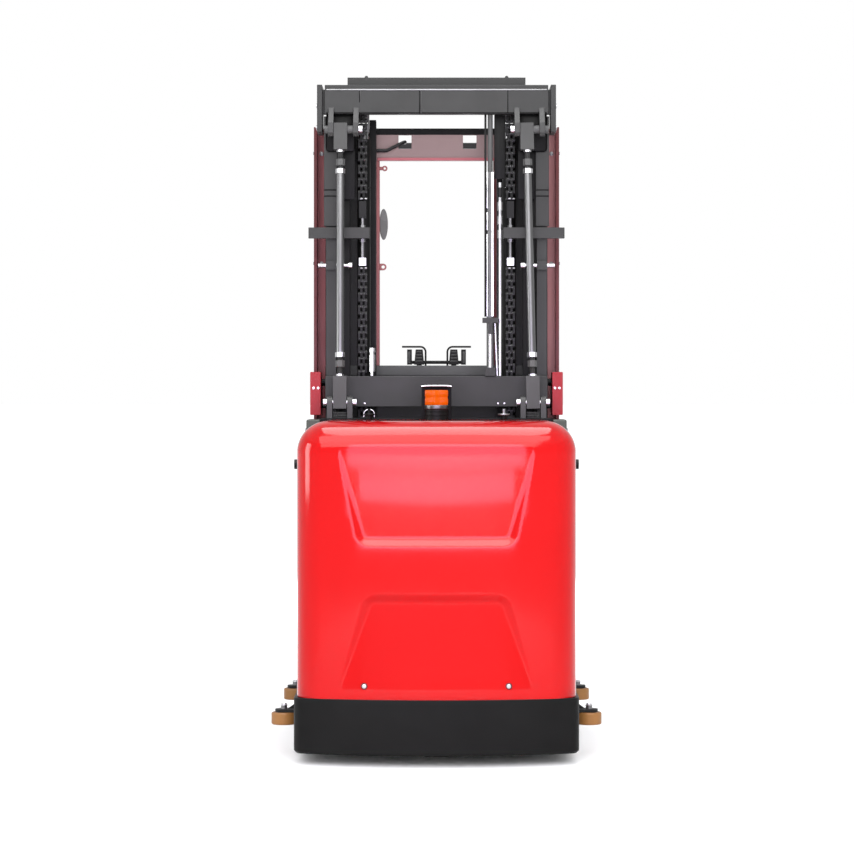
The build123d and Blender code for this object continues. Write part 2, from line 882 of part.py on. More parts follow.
def make_hose_foot():
    """Port block on the lower beam that the short hose ends in."""
    left = guide_tube_x - hose_foot_half
    right = guide_tube_x + hose_foot_half
    rear = tube_rear - hose_bar_depth
    return block(left, right, rear, tube_rear, lower_beam_top, lower_beam_top + hose_foot_height)


def make_inner_rail():
    """One inner mast rail: a channel open towards the middle, with rollers that run in the outer rail."""
    inner = inner_rail_side - inner_rail_width
    rail = block(
        inner, inner_rail_side, inner_rail_rear, inner_rail_front, inner_rail_bottom, inner_rail_top,
    )
    rail -= block(
        inner - 1, inner_rail_side - inner_web,
        inner_rail_rear + inner_flange, inner_rail_front - inner_flange,
        inner_rail_bottom - 1, inner_rail_top + 1,
    )
    roller_size = mast_depth / 2 - outer_flange - slide_gap
    for z in inner_roller_places:
        rail += rod_x(inner_rail_side - 1, inner_rail_side + mast_roller_width, mast_mid, z, roller_size)
    return rail


def make_inner_beam():
    """The inner mast's top beam on two short posts, with a lifting eye on each side."""
    rear = inner_rail_rear
    front = inner_rail_front
    top = inner_beam_bottom + inner_beam_height
    beam = block(-inner_beam_half, inner_beam_half, rear, front, inner_beam_bottom, top)
    post_face = inner_rail_side - inner_rail_width
    post_top = inner_beam_bottom + 1
    for post in pair(block(post_face, inner_rail_side, rear, front, inner_rail_top, post_top)):
        beam += post
    for eye in pair(rod_y(eye_x, rear, front, top, eye_radius)):
        beam += eye
    return beam


def make_sheave():
    """One chain sheave between the plates of its yoke on the lift rod's head."""
    half = sheave_width / 2
    outer = half + yoke_plate
    rear = cylinder_y - yoke_half_depth
    front = cylinder_y + yoke_half_depth
    yoke = block(chain_x - outer, chain_x + outer, rear, front, yoke_bottom, yoke_top)
    yoke += block(chain_x - outer, chain_x - half, rear, front, yoke_bottom, inner_beam_bottom)
    yoke += block(chain_x + half, chain_x + outer, rear, front, yoke_bottom, inner_beam_bottom)
    return yoke + rod_x(chain_x - half, chain_x + half, cylinder_y, sheave_z, sheave_radius)


def make_cylinder():
    """Lift cylinder barrel standing on the mast foot."""
    barrel = rod_z(cylinder_x, cylinder_y, foot_top, cylinder_top, cylinder_radius)
    bore_bottom = lift_rod_bottom - cylinder_base
    return barrel - rod_z(cylinder_x, cylinder_y, bore_bottom, cylinder_top + 1, cylinder_bore)


def chain_run(low, high):
    """A leaf chain between two heights: a waisted core with one wide stack of plates each pitch."""
    core_half = chain_core_width / 2
    core_depth = chain_core_thickness / 2
    run = block(
        chain_x - core_half, chain_x + core_half, chain_y - core_depth, chain_y + core_depth, low, high,
    )
    stacks = []
    for index in range(int((high - low) / chain_pitch)):
        z = low + chain_pitch * (index + 0.5)
        stacks.append(block(
            chain_x - chain_width / 2, chain_x + chain_width / 2,
            chain_y - chain_thickness / 2, chain_y + chain_thickness / 2,
            z - chain_plate_height / 2, z + chain_plate_height / 2,
        ))
    return run + stacks


def make_upper_chain():
    """The run of a chain from its anchor up to the sheave, and its turn over the sheave."""
    wrap_inner = sheave_radius + touch_gap
    wrap_outer = wrap_inner + chain_thickness
    half = chain_width / 2
    wrap = rod_x(chain_x - half, chain_x + half, cylinder_y, sheave_z, wrap_outer)
    wrap -= rod_x(chain_x - chain_width, chain_x + chain_width, cylinder_y, sheave_z, wrap_inner)
    wrap -= block(
        chain_x - chain_width, chain_x + chain_width,
        cylinder_y - 2 * wrap_outer, cylinder_y + 2 * wrap_outer,
        sheave_z - 2 * wrap_outer, sheave_z,
    )
    return chain_run(clevis_top + touch_gap, sheave_z) + wrap


def make_lower_chain():
    """The run of a chain below its anchor, ending in a block on a tie rod from the mast foot."""
    run = chain_run(chain_low, anchor_block_bottom)
    end_low = chain_low - chain_end_height
    half = anchor_width / 2
    depth = anchor_depth / 2
    run += block(chain_x - half, chain_x + half, chain_y - depth, chain_y + depth, end_low, chain_low)
    return run + rod_z(chain_x, chain_y, foot_top, end_low, chain_tie_radius)


def make_chain_anchor():
    """Clevis, threaded rod with lock nuts and bright block that anchor both runs in the bracket's tab."""
    half = anchor_width / 2
    depth = anchor_depth / 2
    anchor = rod_z(chain_x, chain_y, anchor_block_top, clevis_bottom, anchor_rod_radius)
    for low, high in ((anchor_block_bottom, anchor_block_top), (clevis_bottom, clevis_top)):
        anchor += block(chain_x - half, chain_x + half, chain_y - depth, chain_y + depth, low, high)
    nut = extrude(RegularPolygon(anchor_nut_radius, 6), amount=anchor_nut_height)
    for low in (bracket_bottom - anchor_nut_height, bracket_top):
        anchor += Pos(chain_x, chain_y, low) * nut
    return anchor


def stay_line(side):
    """Where the stay of one side has its lower and its upper pin."""
    low = Vector(side * low_ear_x, stay_low_y, stay_low_z)
    high = Vector(side * high_ear_x + stay_shift, stay_high_y, stay_high_z)
    return low, high


def make_stay(side):
    """Tube, threads and nuts of one mast stay, and its two end blocks."""
    low, high = stay_line(side)
    length = (high - low).length
    along = Plane(origin=low, x_dir=(1, 0, 0), z_dir=high - low)
    half = stay_block_width / 2
    depth = stay_block_depth / 2
    top = length - stay_high_block
    blocks = []
    ends = (
        (low, -stay_block_heel, stay_low_block),
        (high, top, length + stay_block_heel),
    )
    for pin, start, end in ends:
        one = along * block(-half, half, -depth, depth, start, end)
        reach = stay_block_width
        blocks.append(one - rod_x(pin.X - reach, pin.X + reach, pin.Y, pin.Z, stay_pin_radius + pin_gap))
    tube = rod_z(0, 0, stay_low_block, top, stay_thread_radius)
    tube += rod_z(0, 0, stay_low_block + stay_thread_length, top - stay_thread_length, stay_radius)
    # Washer, lock nut and tube nut of each end: start from the block, thickness, radius
    nuts = ((0, 8, 15), (36, 25, 18), (74, 18, 19))
    for start, thick, radius in nuts:
        hexagon = extrude(RegularPolygon(radius, 6), amount=thick)
        tube += Pos(0, 0, stay_low_block + start) * hexagon
        tube += Pos(0, 0, top - start - thick) * hexagon
    return along * tube, blocks


def make_stay_pins(side):
    """Lower and upper pin of one stay with their heads; a collar fills the upper clevis."""
    low, high = stay_line(side)
    ear_high = side * high_ear_x
    half = stay_block_width / 2
    pins = []
    places = (
        (low, side * low_ear_x, low_ear_space),
        (high, ear_high, high_ear_space),
    )
    for pin, middle, space in places:
        face = space / 2 + ear_thickness + touch_gap
        head = face + stay_pin_head
        bolt = rod_x(middle - head, middle + head, pin.Y, pin.Z, stay_pin_radius)
        for x0, x1 in ((-head, -face), (face, head)):
            bolt += rod_x(middle + x0, middle + x1, pin.Y, pin.Z, stay_pin_head_radius)
        pins.append(bolt)
    collar_start = high.X + half + touch_gap
    collar_end = ear_high + high_ear_space / 2 - touch_gap
    pins[1] += rod_x(collar_start, collar_end, high.Y, high.Z, stay_pin_head_radius)
    return pins


def make_foot_cover():
    """Red block beside the mast foot, on two standoffs from the outer rail."""
    rear = mast_rear - foot_cover_rear
    low = tower_top + foot_cover_rise
    high = low + foot_cover_height
    cover = block(foot_cover_inner, foot_cover_outer, rear, rear + foot_cover_depth, low, high)
    cover = fillet(cover.edges().filter_by(Axis.Y), foot_cover_edge)
    for z in (low + standoff_inset, high - standoff_inset):
        cover += rod_x(outer_rail_outer, foot_cover_inner + 1, mast_mid, z, standoff_radius)
    return cover


def make_beacon():
    """Base, two-tier lens on its ring, and guard of the warning beacon."""
    base_top = hood_top + beacon_base_height
    base = rod_z(0, beacon_y, hood_top, base_top, beacon_base_radius)
    ring_top = base_top + beacon_ring_height
    lens = rod_z(0, beacon_y, base_top, ring_top, beacon_ring_radius)
    upper_low = ring_top + beacon_tier_height + beacon_groove
    lens_top = upper_low + beacon_tier_height
    lens += rod_z(0, beacon_y, ring_top, ring_top + beacon_tier_height, beacon_lens_radius)
    lens += rod_z(0, beacon_y, ring_top, lens_top, beacon_lens_radius - beacon_groove)
    upper = rod_z(0, beacon_y, upper_low, lens_top, beacon_lens_radius)
    lens += fillet(upper.edges().sort_by(Axis.Z)[-1:], beacon_lens_edge)
    plate_rear = beacon_y + beacon_base_radius + guard_gap
    plate_front = plate_rear + guard_plate
    top = hood_top + guard_rise
    guard = block(-guard_half, guard_half, plate_rear, plate_front, hood_top, top)
    guard += block(-guard_half, guard_half, plate_rear - guard_reach, plate_rear, top - guard_plate, top)
    return base, lens, guard


def make_guide_tube():
    """Telescopic guide tube beside the mast window, held between the two crossbeams."""
    barrel = rod_z(guide_tube_x, pipe_y, lower_beam_top, guide_tube_top, guide_tube_radius)
    return barrel + rod_z(guide_tube_x, pipe_y, guide_tube_top, top_beam_bottom, guide_rod_radius)


def make_pipes():
    """Hydraulic pipe with screwed fittings, its slanted branch, the short hose and the port on the left."""
    pipe = rod_z(pipe_x, pipe_y, lower_beam_top, pipe_top, pipe_radius)
    pitch = (pipe_top - fitting_bottom) / fitting_count
    for step in range(fitting_count):
        z = fitting_bottom + pitch * step
        pipe += rod_z(pipe_x, pipe_y, z, z + pitch * 0.6, fitting_radius)
    branch_path = Line(
        (branch_low_x, tube_rear, lower_beam_top + touch_gap),
        (branch_top_x, tube_rear, hose_bar_low - touch_gap),
    )
    branch = tube_along(branch_path, branch_radius)
    hose_y = tube_rear - hose_bar_depth / 2
    hose_low = lower_beam_top + hose_foot_height
    hose = rod_z(guide_tube_x, hose_y, hose_low, hose_bar_low - hose_stem_length, hose_radius)
    # Steps of the port, from the beam upwards: height and radius
    port_steps = ((17, 7), (66, 12), (9, 9), (18, 12))
    port = None
    low = lower_beam_top
    for height, radius in port_steps:
        step = rod_z(port_x, pipe_y, low, low + height, radius)
        port = step if port is None else port + step
        low += height
    return pipe, branch, hose, port


def make_rear_post():
    """Outer rear post of the cab: a folded side plate with the pin of the side gate."""
    post = block(cab_half - post_plate, cab_half, cab_rear - post_depth, front_face, floor_bottom, cab_top)
    post += block(post_inner, cab_half, front_face - post_plate, front_face, floor_bottom, cab_top)
    pin_end = gate_plane + gate_boss_half + gate_pin_spare
    return post + rod_x(cab_half - post_plate, pin_end, gate_pivot_y, gate_pivot_z, gate_pin_radius)


def make_header():
    """Panel over the rear window with two rectangular holes and a lip along its lower edge."""
    header_front = front_face - post_plate
    header = block(-post_inner, post_inner, cab_rear, header_front, header_bottom, cab_top)
    lip_rear = cab_rear - header_lip
    lip_top = header_bottom + header_lip
    header += block(-header_lip_half, header_lip_half, lip_rear, cab_rear, header_bottom, lip_top)
    hole_top = cab_top - header_hole_drop
    hole_bottom = hole_top - header_hole_height
    for x0, x1 in header_holes:
        header -= block(x0, x1, cab_rear - 1, header_front + 1, hole_bottom, hole_top)
    return header


def make_header_hose():
    """Hose along the header from the left upright into the left hole."""
    hole_left, hole_right = header_holes[0]
    hole_x = (hole_left + hole_right) / 2
    hole_z = cab_top - header_hole_drop - header_hole_height / 2
    y = cab_rear - header_hose_setback
    start_x = -upright_inner + touch_gap
    path = FilletPolyline(
        (start_x, y, hole_z - header_hose_rise),
        (start_x + header_hose_lead, y, hole_z - header_hose_rise),
        (hole_x, y, hole_z),
        (hole_x, front_face, hole_z),
        radius=header_hose_bend,
    )
    return tube_along(path, header_hose_radius)


def make_roof():
    """Overhead guard: side borders, a front border and lengthwise bars from the header."""
    low = cab_top - roof_thickness
    rear = front_face - post_plate
    border_rear = cab_front - roof_border
    roof = block(-cab_half, cab_half, border_rear, cab_front, low, cab_top)
    for side in pair(block(cab_half - roof_border, cab_half, front_face, border_rear, low, cab_top)):
        roof += side
    for x in roof_bar_places:
        half = roof_bar_width / 2
        for bar in pair(block(x - half, x + half, rear, border_rear, low, cab_top)):
            roof += bar
    return roof


def make_console():
    """Front console: a folded housing with a sloped upper face."""
    rear = console_rear + console_slope / 2
    side = [
        (rear, floor_top),
        (cab_front, floor_top),
        (cab_front, console_top),
        (rear, console_top),
        (console_rear, console_top - console_slope),
        (rear, console_top - 2 * console_slope),
    ]
    return side_profile(side, -console_half, console_half)


def make_controls():
    """Grip, paddle, linking rod and wire guard on the right half of the console."""
    front = controls_y + control_depth
    middle = controls_y + control_depth / 2
    low = console_top + grip_low_rise
    high = low + grip_height
    grip_face = make_face(Polyline(
        (grip_inner, controls_y, low),
        (grip_outer, controls_y, low),
        (grip_outer - grip_taper, controls_y, high),
        (grip_inner + grip_taper, controls_y, high),
        close=True,
    ))
    control = extrude(grip_face, amount=control_depth, dir=(0, 1, 0))
    control += block(paddle_inner, paddle_outer, controls_y, front, low, high)
    control += rod_x(0, paddle_outer, middle, console_top + control_rod_rise, control_rod_radius)
    control += rod_z((grip_inner + grip_outer) / 2, middle, console_top, low + 1, control_stem_radius)
    hoop_top = console_top + hoop_rise
    guard_path = FilletPolyline(
        (hoop_leg, front, console_top),
        (hoop_leg, front, hoop_top),
        (hoop_outer, front, hoop_top),
        radius=hoop_bend,
    )
    return control, tube_along(guard_path, hoop_radius)


def make_lug():
    """Drilled lug with a round end on the inner post beside the window."""
    centre = inner_post_inner - lug_radius
    front = cab_rear + lug_thickness
    lug = rod_y(centre, cab_rear, front, lug_z, lug_radius)
    lug += block(centre, inner_post_inner, cab_rear, front, lug_z - lug_radius, lug_z + lug_radius)
    return lug - rod_y(centre, cab_rear - 1, front + 1, lug_z, lug_bore)


def make_carriage_side():
    """Carriage plate with its mast rollers and the tall upright beside the window."""
    outer = carriage_plate_outer
    inner = outer - carriage_plate
    roller_size = inner_rail_depth / 2 - inner_flange - slide_gap
    side = block(inner, outer, mast_mid - roller_size, cab_rear, carriage_bottom, carriage_top)
    for z in carriage_roller_places:
        side += rod_x(inner, outer + carriage_roller_width, mast_mid, z, roller_size)
    upright_rear = cab_rear - upright_depth
    upright_top = cab_top + upright_rise
    side += block(upright_inner, upright_outer, upright_rear, cab_rear, carriage_bottom, upright_top)
    tie_rear = cab_rear - carriage_tie
    return side + block(upright_outer - 1, inner + 1, tie_rear, cab_rear, carriage_bottom, carriage_top)


def make_fork_carriage():
    """Plate on the front of the platform with the two bars that the forks hang on."""
    plate_front = cab_front + fork_plate
    half = fork_carriage_half
    frame = block(-half, half, cab_front, plate_front, fork_carriage_bottom, fork_carriage_top)
    for low in (fork_carriage_bottom, fork_carriage_top - fork_bar_height):
        frame += block(-half, half, plate_front, fork_face, low, low + fork_bar_height)
    return frame


def make_fork():
    """One fork: a shank hooked over the upper bar and a blade that thins towards its tip."""
    blade_top = fork_bottom + fork_thickness
    shank_front = fork_face + fork_thickness
    shank_top = fork_carriage_top + fork_hook
    side = [
        (fork_face, fork_bottom),
        (fork_tip, fork_bottom),
        (fork_tip, fork_bottom + fork_tip_thickness),
        (fork_tip - fork_taper_length, blade_top),
        (shank_front, blade_top),
        (shank_front, shank_top),
        (fork_face - fork_bar_depth, shank_top),
        (fork_face - fork_bar_depth, fork_carriage_top),
        (fork_face, fork_carriage_top),
    ]
    fork = side_profile(side, fork_inner, fork_inner + fork_width)
    tip_edges = fork.edges().filter_by(Axis.Z).sort_by(Axis.Y)[-2:]
    return fillet(tip_edges, fork_tip_corner)


def make_gate():
    """Side gate: a bent tube, its rear upright and the pivot boss."""
    low = gate_pivot_z - gate_drop
    rear = cab_rear + gate_post_reach
    front = cab_front - gate_front_setback
    path = FilletPolyline(
        (gate_plane, gate_pivot_y, gate_pivot_z),
        (gate_plane, front, gate_pivot_z),
        (gate_plane, front, low),
        (gate_plane, rear, low),
        radius=gate_bend,
    )
    gate = tube_along(path, gate_bar_radius)
    gate += rod_z(gate_plane, rear + gate_bar_radius, low, gate_pivot_z, gate_bar_radius - touch_gap)
    boss_low = gate_plane - gate_boss_half
    boss_high = gate_plane + gate_boss_half
    gate += rod_x(boss_low, boss_high, gate_pivot_y, gate_pivot_z, gate_boss_radius)
    return gate - rod_x(boss_low - 1, boss_high + 1, gate_pivot_y, gate_pivot_z, gate_pin_radius + pin_gap)


# Chassis
save("chassis_frame", make_chassis())
save("straddle_arms", pair(make_arm()))
save("bumper_skirt", make_bumper())
save("hood", make_hood())
knob_start = hood_half + touch_gap
knob = rod_x(knob_start, knob_start + knob_reach, knob_y, hood_top - knob_drop, knob_radius)
save("hood_knobs", pair(knob), pair(make_hood_buffer()))
battery_front = mast_rear - battery_gap
save("battery", block(
    -battery_half_width, battery_half_width, battery_front - battery_length, battery_front,
    hood_bottom, hood_bottom + battery_height,
))
save("support_tower", make_tower())
cover_start = tower_half + touch_gap
save("side_covers", pair(block(
    cover_start, cover_start + side_cover_thickness,
    tower_rear, mast_rear,
    hood_bottom, tower_top - side_cover_drop,
)))

# Outer mast and what is fastened to it
save("outer_rails", pair(make_outer_rail()))
save("mast_top_beam", make_top_beam())
save("mast_lower_beam", block(
    -lower_beam_half, lower_beam_half,
    mast_rear - lower_beam_depth, mast_rear,
    lower_beam_bottom, lower_beam_top,
))
rail_brackets = pair(make_mid_bracket()) + pair(make_cross_bolt())
save("mast_brackets", rail_brackets, make_hose_bracket(), make_hose_foot())
save("mast_foot_covers", pair(make_foot_cover()))
stay_tubes = []
stay_blocks = []
for side in (1, -1):
    stay_tube, end_blocks = make_stay(side)
    stay_tubes.append(stay_tube)
    stay_tubes.extend(make_stay_pins(side))
    stay_blocks.extend(end_blocks)
save("mast_stays", stay_tubes)
save("stay_blocks", stay_blocks)
save("lift_cylinders", pair(make_cylinder()))
save("mast_pipes", make_guide_tube(), make_pipes())
save("chain_lower_runs", pair(make_lower_chain()))
save("chain_adjusters", pair(make_chain_anchor()))

# Beacon
beacon_base, beacon_lens, beacon_guard = make_beacon()
save("beacon_base", beacon_base)
save("beacon_lens", beacon_lens)
save("beacon_guard", beacon_guard)

# Wheels and rollers
load_x = (arm_inner + arm_outer) / 2
save("load_axles", pair(rod_x(arm_inner, arm_outer, load_axle_y, load_radius, load_axle_radius)))
load_tyre, load_hub = make_wheel(
    load_x, load_axle_y, load_radius, load_hub_radius, load_width, load_axle_radius + pin_gap,
)
save("load_tyre_right", load_tyre)
save("load_hub_right", load_hub)
save("load_tyre_left", mirror(load_tyre, about=Plane.YZ))
save("load_hub_left", mirror(load_hub, about=Plane.YZ))
save("steer_unit", make_steer_unit())
drive_tyre, drive_hub = make_wheel(
    0, drive_axle_y, drive_radius, drive_hub_radius, drive_width, drive_stub_radius + pin_gap,
)
save("drive_tyre", drive_tyre)
save("drive_hub", drive_hub)
rear_bracket = make_roller_bracket(rear_roller_y, bumper_half)
front_bracket = make_roller_bracket(front_roller_y, arm_outer)
save("roller_brackets", pair(rear_bracket), pair(front_bracket))
for end, roller_y in (("rear", rear_roller_y), ("front", front_roller_y)):
    roller_right = make_roller(roller_y)
    save(f"guide_roller_{end}_right", roller_right)
    save(f"guide_roller_{end}_left", mirror(roller_right, about=Plane.YZ))

# Inner mast
save("inner_rails", pair(make_inner_rail()))
save("inner_mast_beam", make_inner_beam())
save("chain_sheaves", pair(make_sheave()))
save("lift_rods", pair(rod_z(cylinder_x, cylinder_y, lift_rod_bottom, yoke_bottom, lift_rod_radius)))
save("mast_chains", pair(make_upper_chain()))

# Cab
save("cab_floor", block(-cab_half, cab_half, front_face, cab_front, floor_bottom, floor_top))
mat_half = post_inner - mat_gap
mat_front = console_rear + console_slope / 2 - mat_gap
save("floor_mat", block(
    -mat_half, mat_half, front_face + mat_gap, mat_front, floor_top, floor_top + mat_thickness,
))
wall_front = cab_rear + wall_thickness
wall_beam_low = wall_top - wall_beam_height
wall = block(-post_inner, post_inner, cab_rear, wall_front, floor_bottom, wall_beam_low)
wall += block(-post_inner, post_inner, cab_rear, cab_rear + wall_beam_depth, wall_beam_low, wall_top)
save("cab_rear_wall", wall)
panel_inner = inner_post_inner + inner_post_width
save("cab_rear_panels", pair(block(
    panel_inner, post_inner, wall_front - panel_thickness, wall_front, wall_top, header_bottom,
)))
save("cab_rear_posts", pair(make_rear_post()))
save("cab_inner_posts", pair(block(
    inner_post_inner, panel_inner, cab_rear, front_face, wall_top, header_bottom,
)))
save("cab_header", make_header())
save("header_hose", make_header_hose())
save("overhead_guard", make_roof())
save("cab_front_posts", pair(block(
    cab_half - front_post_width, cab_half, cab_front - front_post_depth, cab_front,
    floor_top, cab_top - roof_thickness,
)))
save("console", make_console())
controls, wire_guard = make_controls()
save("control_handles", pair(controls), pair(wire_guard))
save("mirror", Pos(mirror_x, front_face, mirror_z) * extrude(
    Plane.XZ * Ellipse(mirror_half_width, mirror_half_height), amount=mirror_thickness, dir=(0, 1, 0),
))
save("cab_lugs", pair(make_lug()))
save("cab_carriage", pair(make_carriage_side()))
save("fork_carriage", make_fork_carriage())
save("forks", pair(make_fork()))

# Side gates
gate_right = make_gate()
save("gate_right", gate_right)
save("gate_left", mirror(gate_right, about=Plane.YZ))
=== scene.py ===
import json
import math

import bmesh
import bpy
from mathutils import Matrix, Vector


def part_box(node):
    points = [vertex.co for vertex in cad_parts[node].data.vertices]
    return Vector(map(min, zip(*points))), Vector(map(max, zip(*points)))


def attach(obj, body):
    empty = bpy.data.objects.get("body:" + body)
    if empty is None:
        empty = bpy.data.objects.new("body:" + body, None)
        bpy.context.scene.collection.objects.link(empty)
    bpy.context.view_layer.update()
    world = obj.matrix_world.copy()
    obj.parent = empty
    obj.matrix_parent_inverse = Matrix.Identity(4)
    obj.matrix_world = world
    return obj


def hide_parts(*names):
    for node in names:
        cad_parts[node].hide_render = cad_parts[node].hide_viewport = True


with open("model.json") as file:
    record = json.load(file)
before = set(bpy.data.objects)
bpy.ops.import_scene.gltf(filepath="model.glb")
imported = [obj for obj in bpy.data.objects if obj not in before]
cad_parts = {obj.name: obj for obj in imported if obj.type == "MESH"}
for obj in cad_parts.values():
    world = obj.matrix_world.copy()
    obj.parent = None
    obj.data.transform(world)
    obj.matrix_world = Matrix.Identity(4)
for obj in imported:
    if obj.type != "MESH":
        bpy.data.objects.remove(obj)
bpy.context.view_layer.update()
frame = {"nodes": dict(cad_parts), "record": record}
nodes = frame["nodes"]
record = frame["record"]
body_of = {node: body for body, members in record["behaviour"]["bodies"].items() for node in members}

# The photograph's frame, in pixels, and the camera that took it, in metres
IMAGE_WIDTH = 854
IMAGE_MIDDLE = (427, 423)
FOCAL_PIXELS = 3073
HORIZON_ROW = 395
MIDDLE_COLUMN = 436.5
CAMERA_DISTANCE = 11.0
CAMERA_HEIGHT = 1.334
CAMERA_REACH = 2000
SENSOR_WIDTH = 36

# Sizes and places are in millimetres, with Y counted forward from the bumper's rearmost point
METRE = 1000
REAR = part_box("bumper_skirt")[0].y
SIDES = (1, -1)
SIDE_NAMES = (("right", 1), ("left", -1))
UP = Vector((0, 0, 1))
BACK = Vector((0, -1, 0))
FORWARD = Vector((0, 1, 0))
RIGHT = Vector((1, 0, 0))


def at(x, y, z):
    """A place in the frame from millimetres."""
    return Vector((x / METRE, REAR + y / METRE, z / METRE))


def span(node):
    """The low and high corners of a node's box as (x, y, z), in millimetres.

    X and Z are given to a tenth and Y to one, because the bumper's mesh ends just short of its bow.
    """
    corners = [(corner.x * METRE, (corner.y - REAR) * METRE, corner.z * METRE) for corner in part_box(node)]
    return [(round(x, 1), round(y), round(z, 1)) for x, y, z in corners]


# Materials

MATERIALS = {}
RAMP_ENDS = (0.3, 0.7)
SMUDGES_PER_PATCH = 4
GRAIN_HEIGHT = 0.001
COOL_TINT = 1.02


def add_noise(tree, coords, scale, detail=3.0):
    """A noise texture on the object's own coordinates."""
    noise = tree.nodes.new("ShaderNodeTexNoise")
    noise.inputs["Scale"].default_value = scale
    noise.inputs["Detail"].default_value = detail
    tree.links.new(coords.outputs["Object"], noise.inputs["Vector"])
    return noise.outputs["Fac"]


def add_ramp(tree, factor, colours):
    """A ramp between two colours."""
    ramp = tree.nodes.new("ShaderNodeValToRGB")
    for element, place, colour in zip(ramp.color_ramp.elements, RAMP_ENDS, colours):
        element.position = place
        element.color = (*colour, 1)
    tree.links.new(factor, ramp.inputs["Fac"])
    return ramp.outputs["Color"]


def surface(name, dark, light, rough=(0.3, 0.4), metallic=0.0, specular=0.25, patch=5.0, grain=500.0,
            bump=0.04):
    """A painted, plated or moulded finish: patches of tone, smudged gloss and a fine grain."""
    material = bpy.data.materials.new(name)
    material.use_nodes = True
    tree = material.node_tree
    shader = tree.nodes["Principled BSDF"]
    coords = tree.nodes.new("ShaderNodeTexCoord")
    colours = add_ramp(tree, add_noise(tree, coords, patch), (dark, light))
    tree.links.new(colours, shader.inputs["Base Color"])
    smudges = add_noise(tree, coords, patch * SMUDGES_PER_PATCH)
    gloss = add_ramp(tree, smudges, [(value,) * 3 for value in rough])
    tree.links.new(gloss, shader.inputs["Roughness"])
    relief = tree.nodes.new("ShaderNodeBump")
    relief.inputs["Strength"].default_value = bump
    relief.inputs["Distance"].default_value = GRAIN_HEIGHT
    tree.links.new(add_noise(tree, coords, grain, detail=2.0), relief.inputs["Height"])
    tree.links.new(relief.outputs["Normal"], shader.inputs["Normal"])
    shader.inputs["Metallic"].default_value = metallic
    shader.inputs["Specular IOR Level"].default_value = specular
    MATERIALS[name] = material


def grey(value):
    """A slightly cool grey."""
    return (value, value, value * COOL_TINT)


# Reds
surface("red_moulding", (0.345, 0.0008, 0.0016), (0.365, 0.0012, 0.0022), (0.08, 0.10), specular=0.2,
        patch=2.0, grain=900, bump=0.0)
surface("red_steel", (0.26, 0.004, 0.007), (0.31, 0.006, 0.010), (0.32, 0.42))
surface("cover_red", (0.190, 0.003, 0.005), (0.215, 0.004, 0.007), (0.25, 0.33), specular=0.15)
surface("post_paint", (0.290, 0.118, 0.125), (0.335, 0.142, 0.150), (0.35, 0.45), specular=0.15)
surface("post_shade", (0.160, 0.044, 0.050), (0.200, 0.056, 0.062), (0.35, 0.45), specular=0.15)
surface("post_pink", (0.190, 0.062, 0.066), (0.230, 0.080, 0.085), (0.35, 0.45), specular=0.15)
# A near-black red: painted shade on the posts' folded edges and the right inner post, and the hood's bolt
# washers
surface("post_edge", (0.045, 0.001, 0.002), (0.07, 0.002, 0.004), (0.35, 0.45))
surface("header_paint", (0.160, 0.110, 0.114), (0.190, 0.134, 0.138), (0.35, 0.45), specular=0.12)
surface("lip_paint", (0.250, 0.070, 0.085), (0.300, 0.090, 0.110), (0.35, 0.45), specular=0.12)
# Blacks and greys
surface("black_moulding", grey(0.0025), grey(0.004), (0.42, 0.55), specular=0.11, grain=900, bump=0.10)
surface("black_steel", grey(0.006), grey(0.010), (0.38, 0.5), specular=0.14, bump=0.06)
surface("black_control", grey(0.008), grey(0.012), (0.45, 0.55), specular=0.12, grain=700, bump=0.15)
surface("mast_black", grey(0.0025), grey(0.0045), (0.42, 0.54), specular=0.08, bump=0.06)
surface("mast_grey", grey(0.022), grey(0.029), (0.38, 0.5), specular=0.12, bump=0.06)
surface("ear_grey", grey(0.034), grey(0.046), (0.35, 0.45), specular=0.12, bump=0.06)
surface("grey_steel", grey(0.013), grey(0.019), (0.36, 0.48), specular=0.15, bump=0.06)
surface("wall_grey", grey(0.050), grey(0.066), (0.4, 0.5), specular=0.12)
surface("green_grey", (0.040, 0.046, 0.040), (0.052, 0.058, 0.052), (0.4, 0.5), specular=0.15)
surface("battery_case", grey(0.05), grey(0.07), (0.4, 0.5))
# Bare and plated metal
surface("stay_steel", grey(0.105), grey(0.125), (0.32, 0.36), metallic=1.0, bump=0.0)
surface("chrome", grey(0.75), grey(0.82), (0.05, 0.08), metallic=1.0, bump=0.0)
surface("zinc_white", grey(0.40), grey(0.50), (0.25, 0.35), metallic=1.0)
surface("zinc_grey", grey(0.15), grey(0.20), (0.3, 0.42), metallic=0.9, bump=0.08)
surface("tube_grey", grey(0.075), grey(0.095), (0.30, 0.36), metallic=0.4, specular=0.15, bump=0.0)
surface("chain_steel", grey(0.004), grey(0.008), (0.35, 0.5), metallic=0.2, specular=0.15, bump=0.1)
surface("cast_hub", grey(0.06), grey(0.09), (0.45, 0.6), metallic=0.4, grain=250, bump=0.2)
surface("braid", grey(0.20), grey(0.45), (0.25, 0.35), metallic=0.9, patch=260.0, bump=0.3)
# Rubber, plastic, glass and the studio's floor
surface("tan_roller", (0.190, 0.086, 0.024), (0.240, 0.110, 0.034), (0.4, 0.5), bump=0.08)
surface("wheel_tyre", (0.055, 0.045, 0.035), (0.08, 0.065, 0.05), (0.5, 0.65), bump=0.1)
surface("rubber_mat", grey(0.012), grey(0.02), (0.6, 0.75), grain=300, bump=0.2)
surface("hose_rubber", grey(0.005), grey(0.008), (0.35, 0.45), specular=0.14, bump=0.08)
surface("amber_lens", (0.44, 0.062, 0.0008), (0.50, 0.084, 0.0012), (0.10, 0.16), specular=0.1)
surface("mirror_glass", grey(0.06), grey(0.08), (0.2, 0.3))
surface("floor_white", grey(0.93), grey(0.95), (0.6, 0.7), patch=0.4, bump=0.0)


# Making pieces

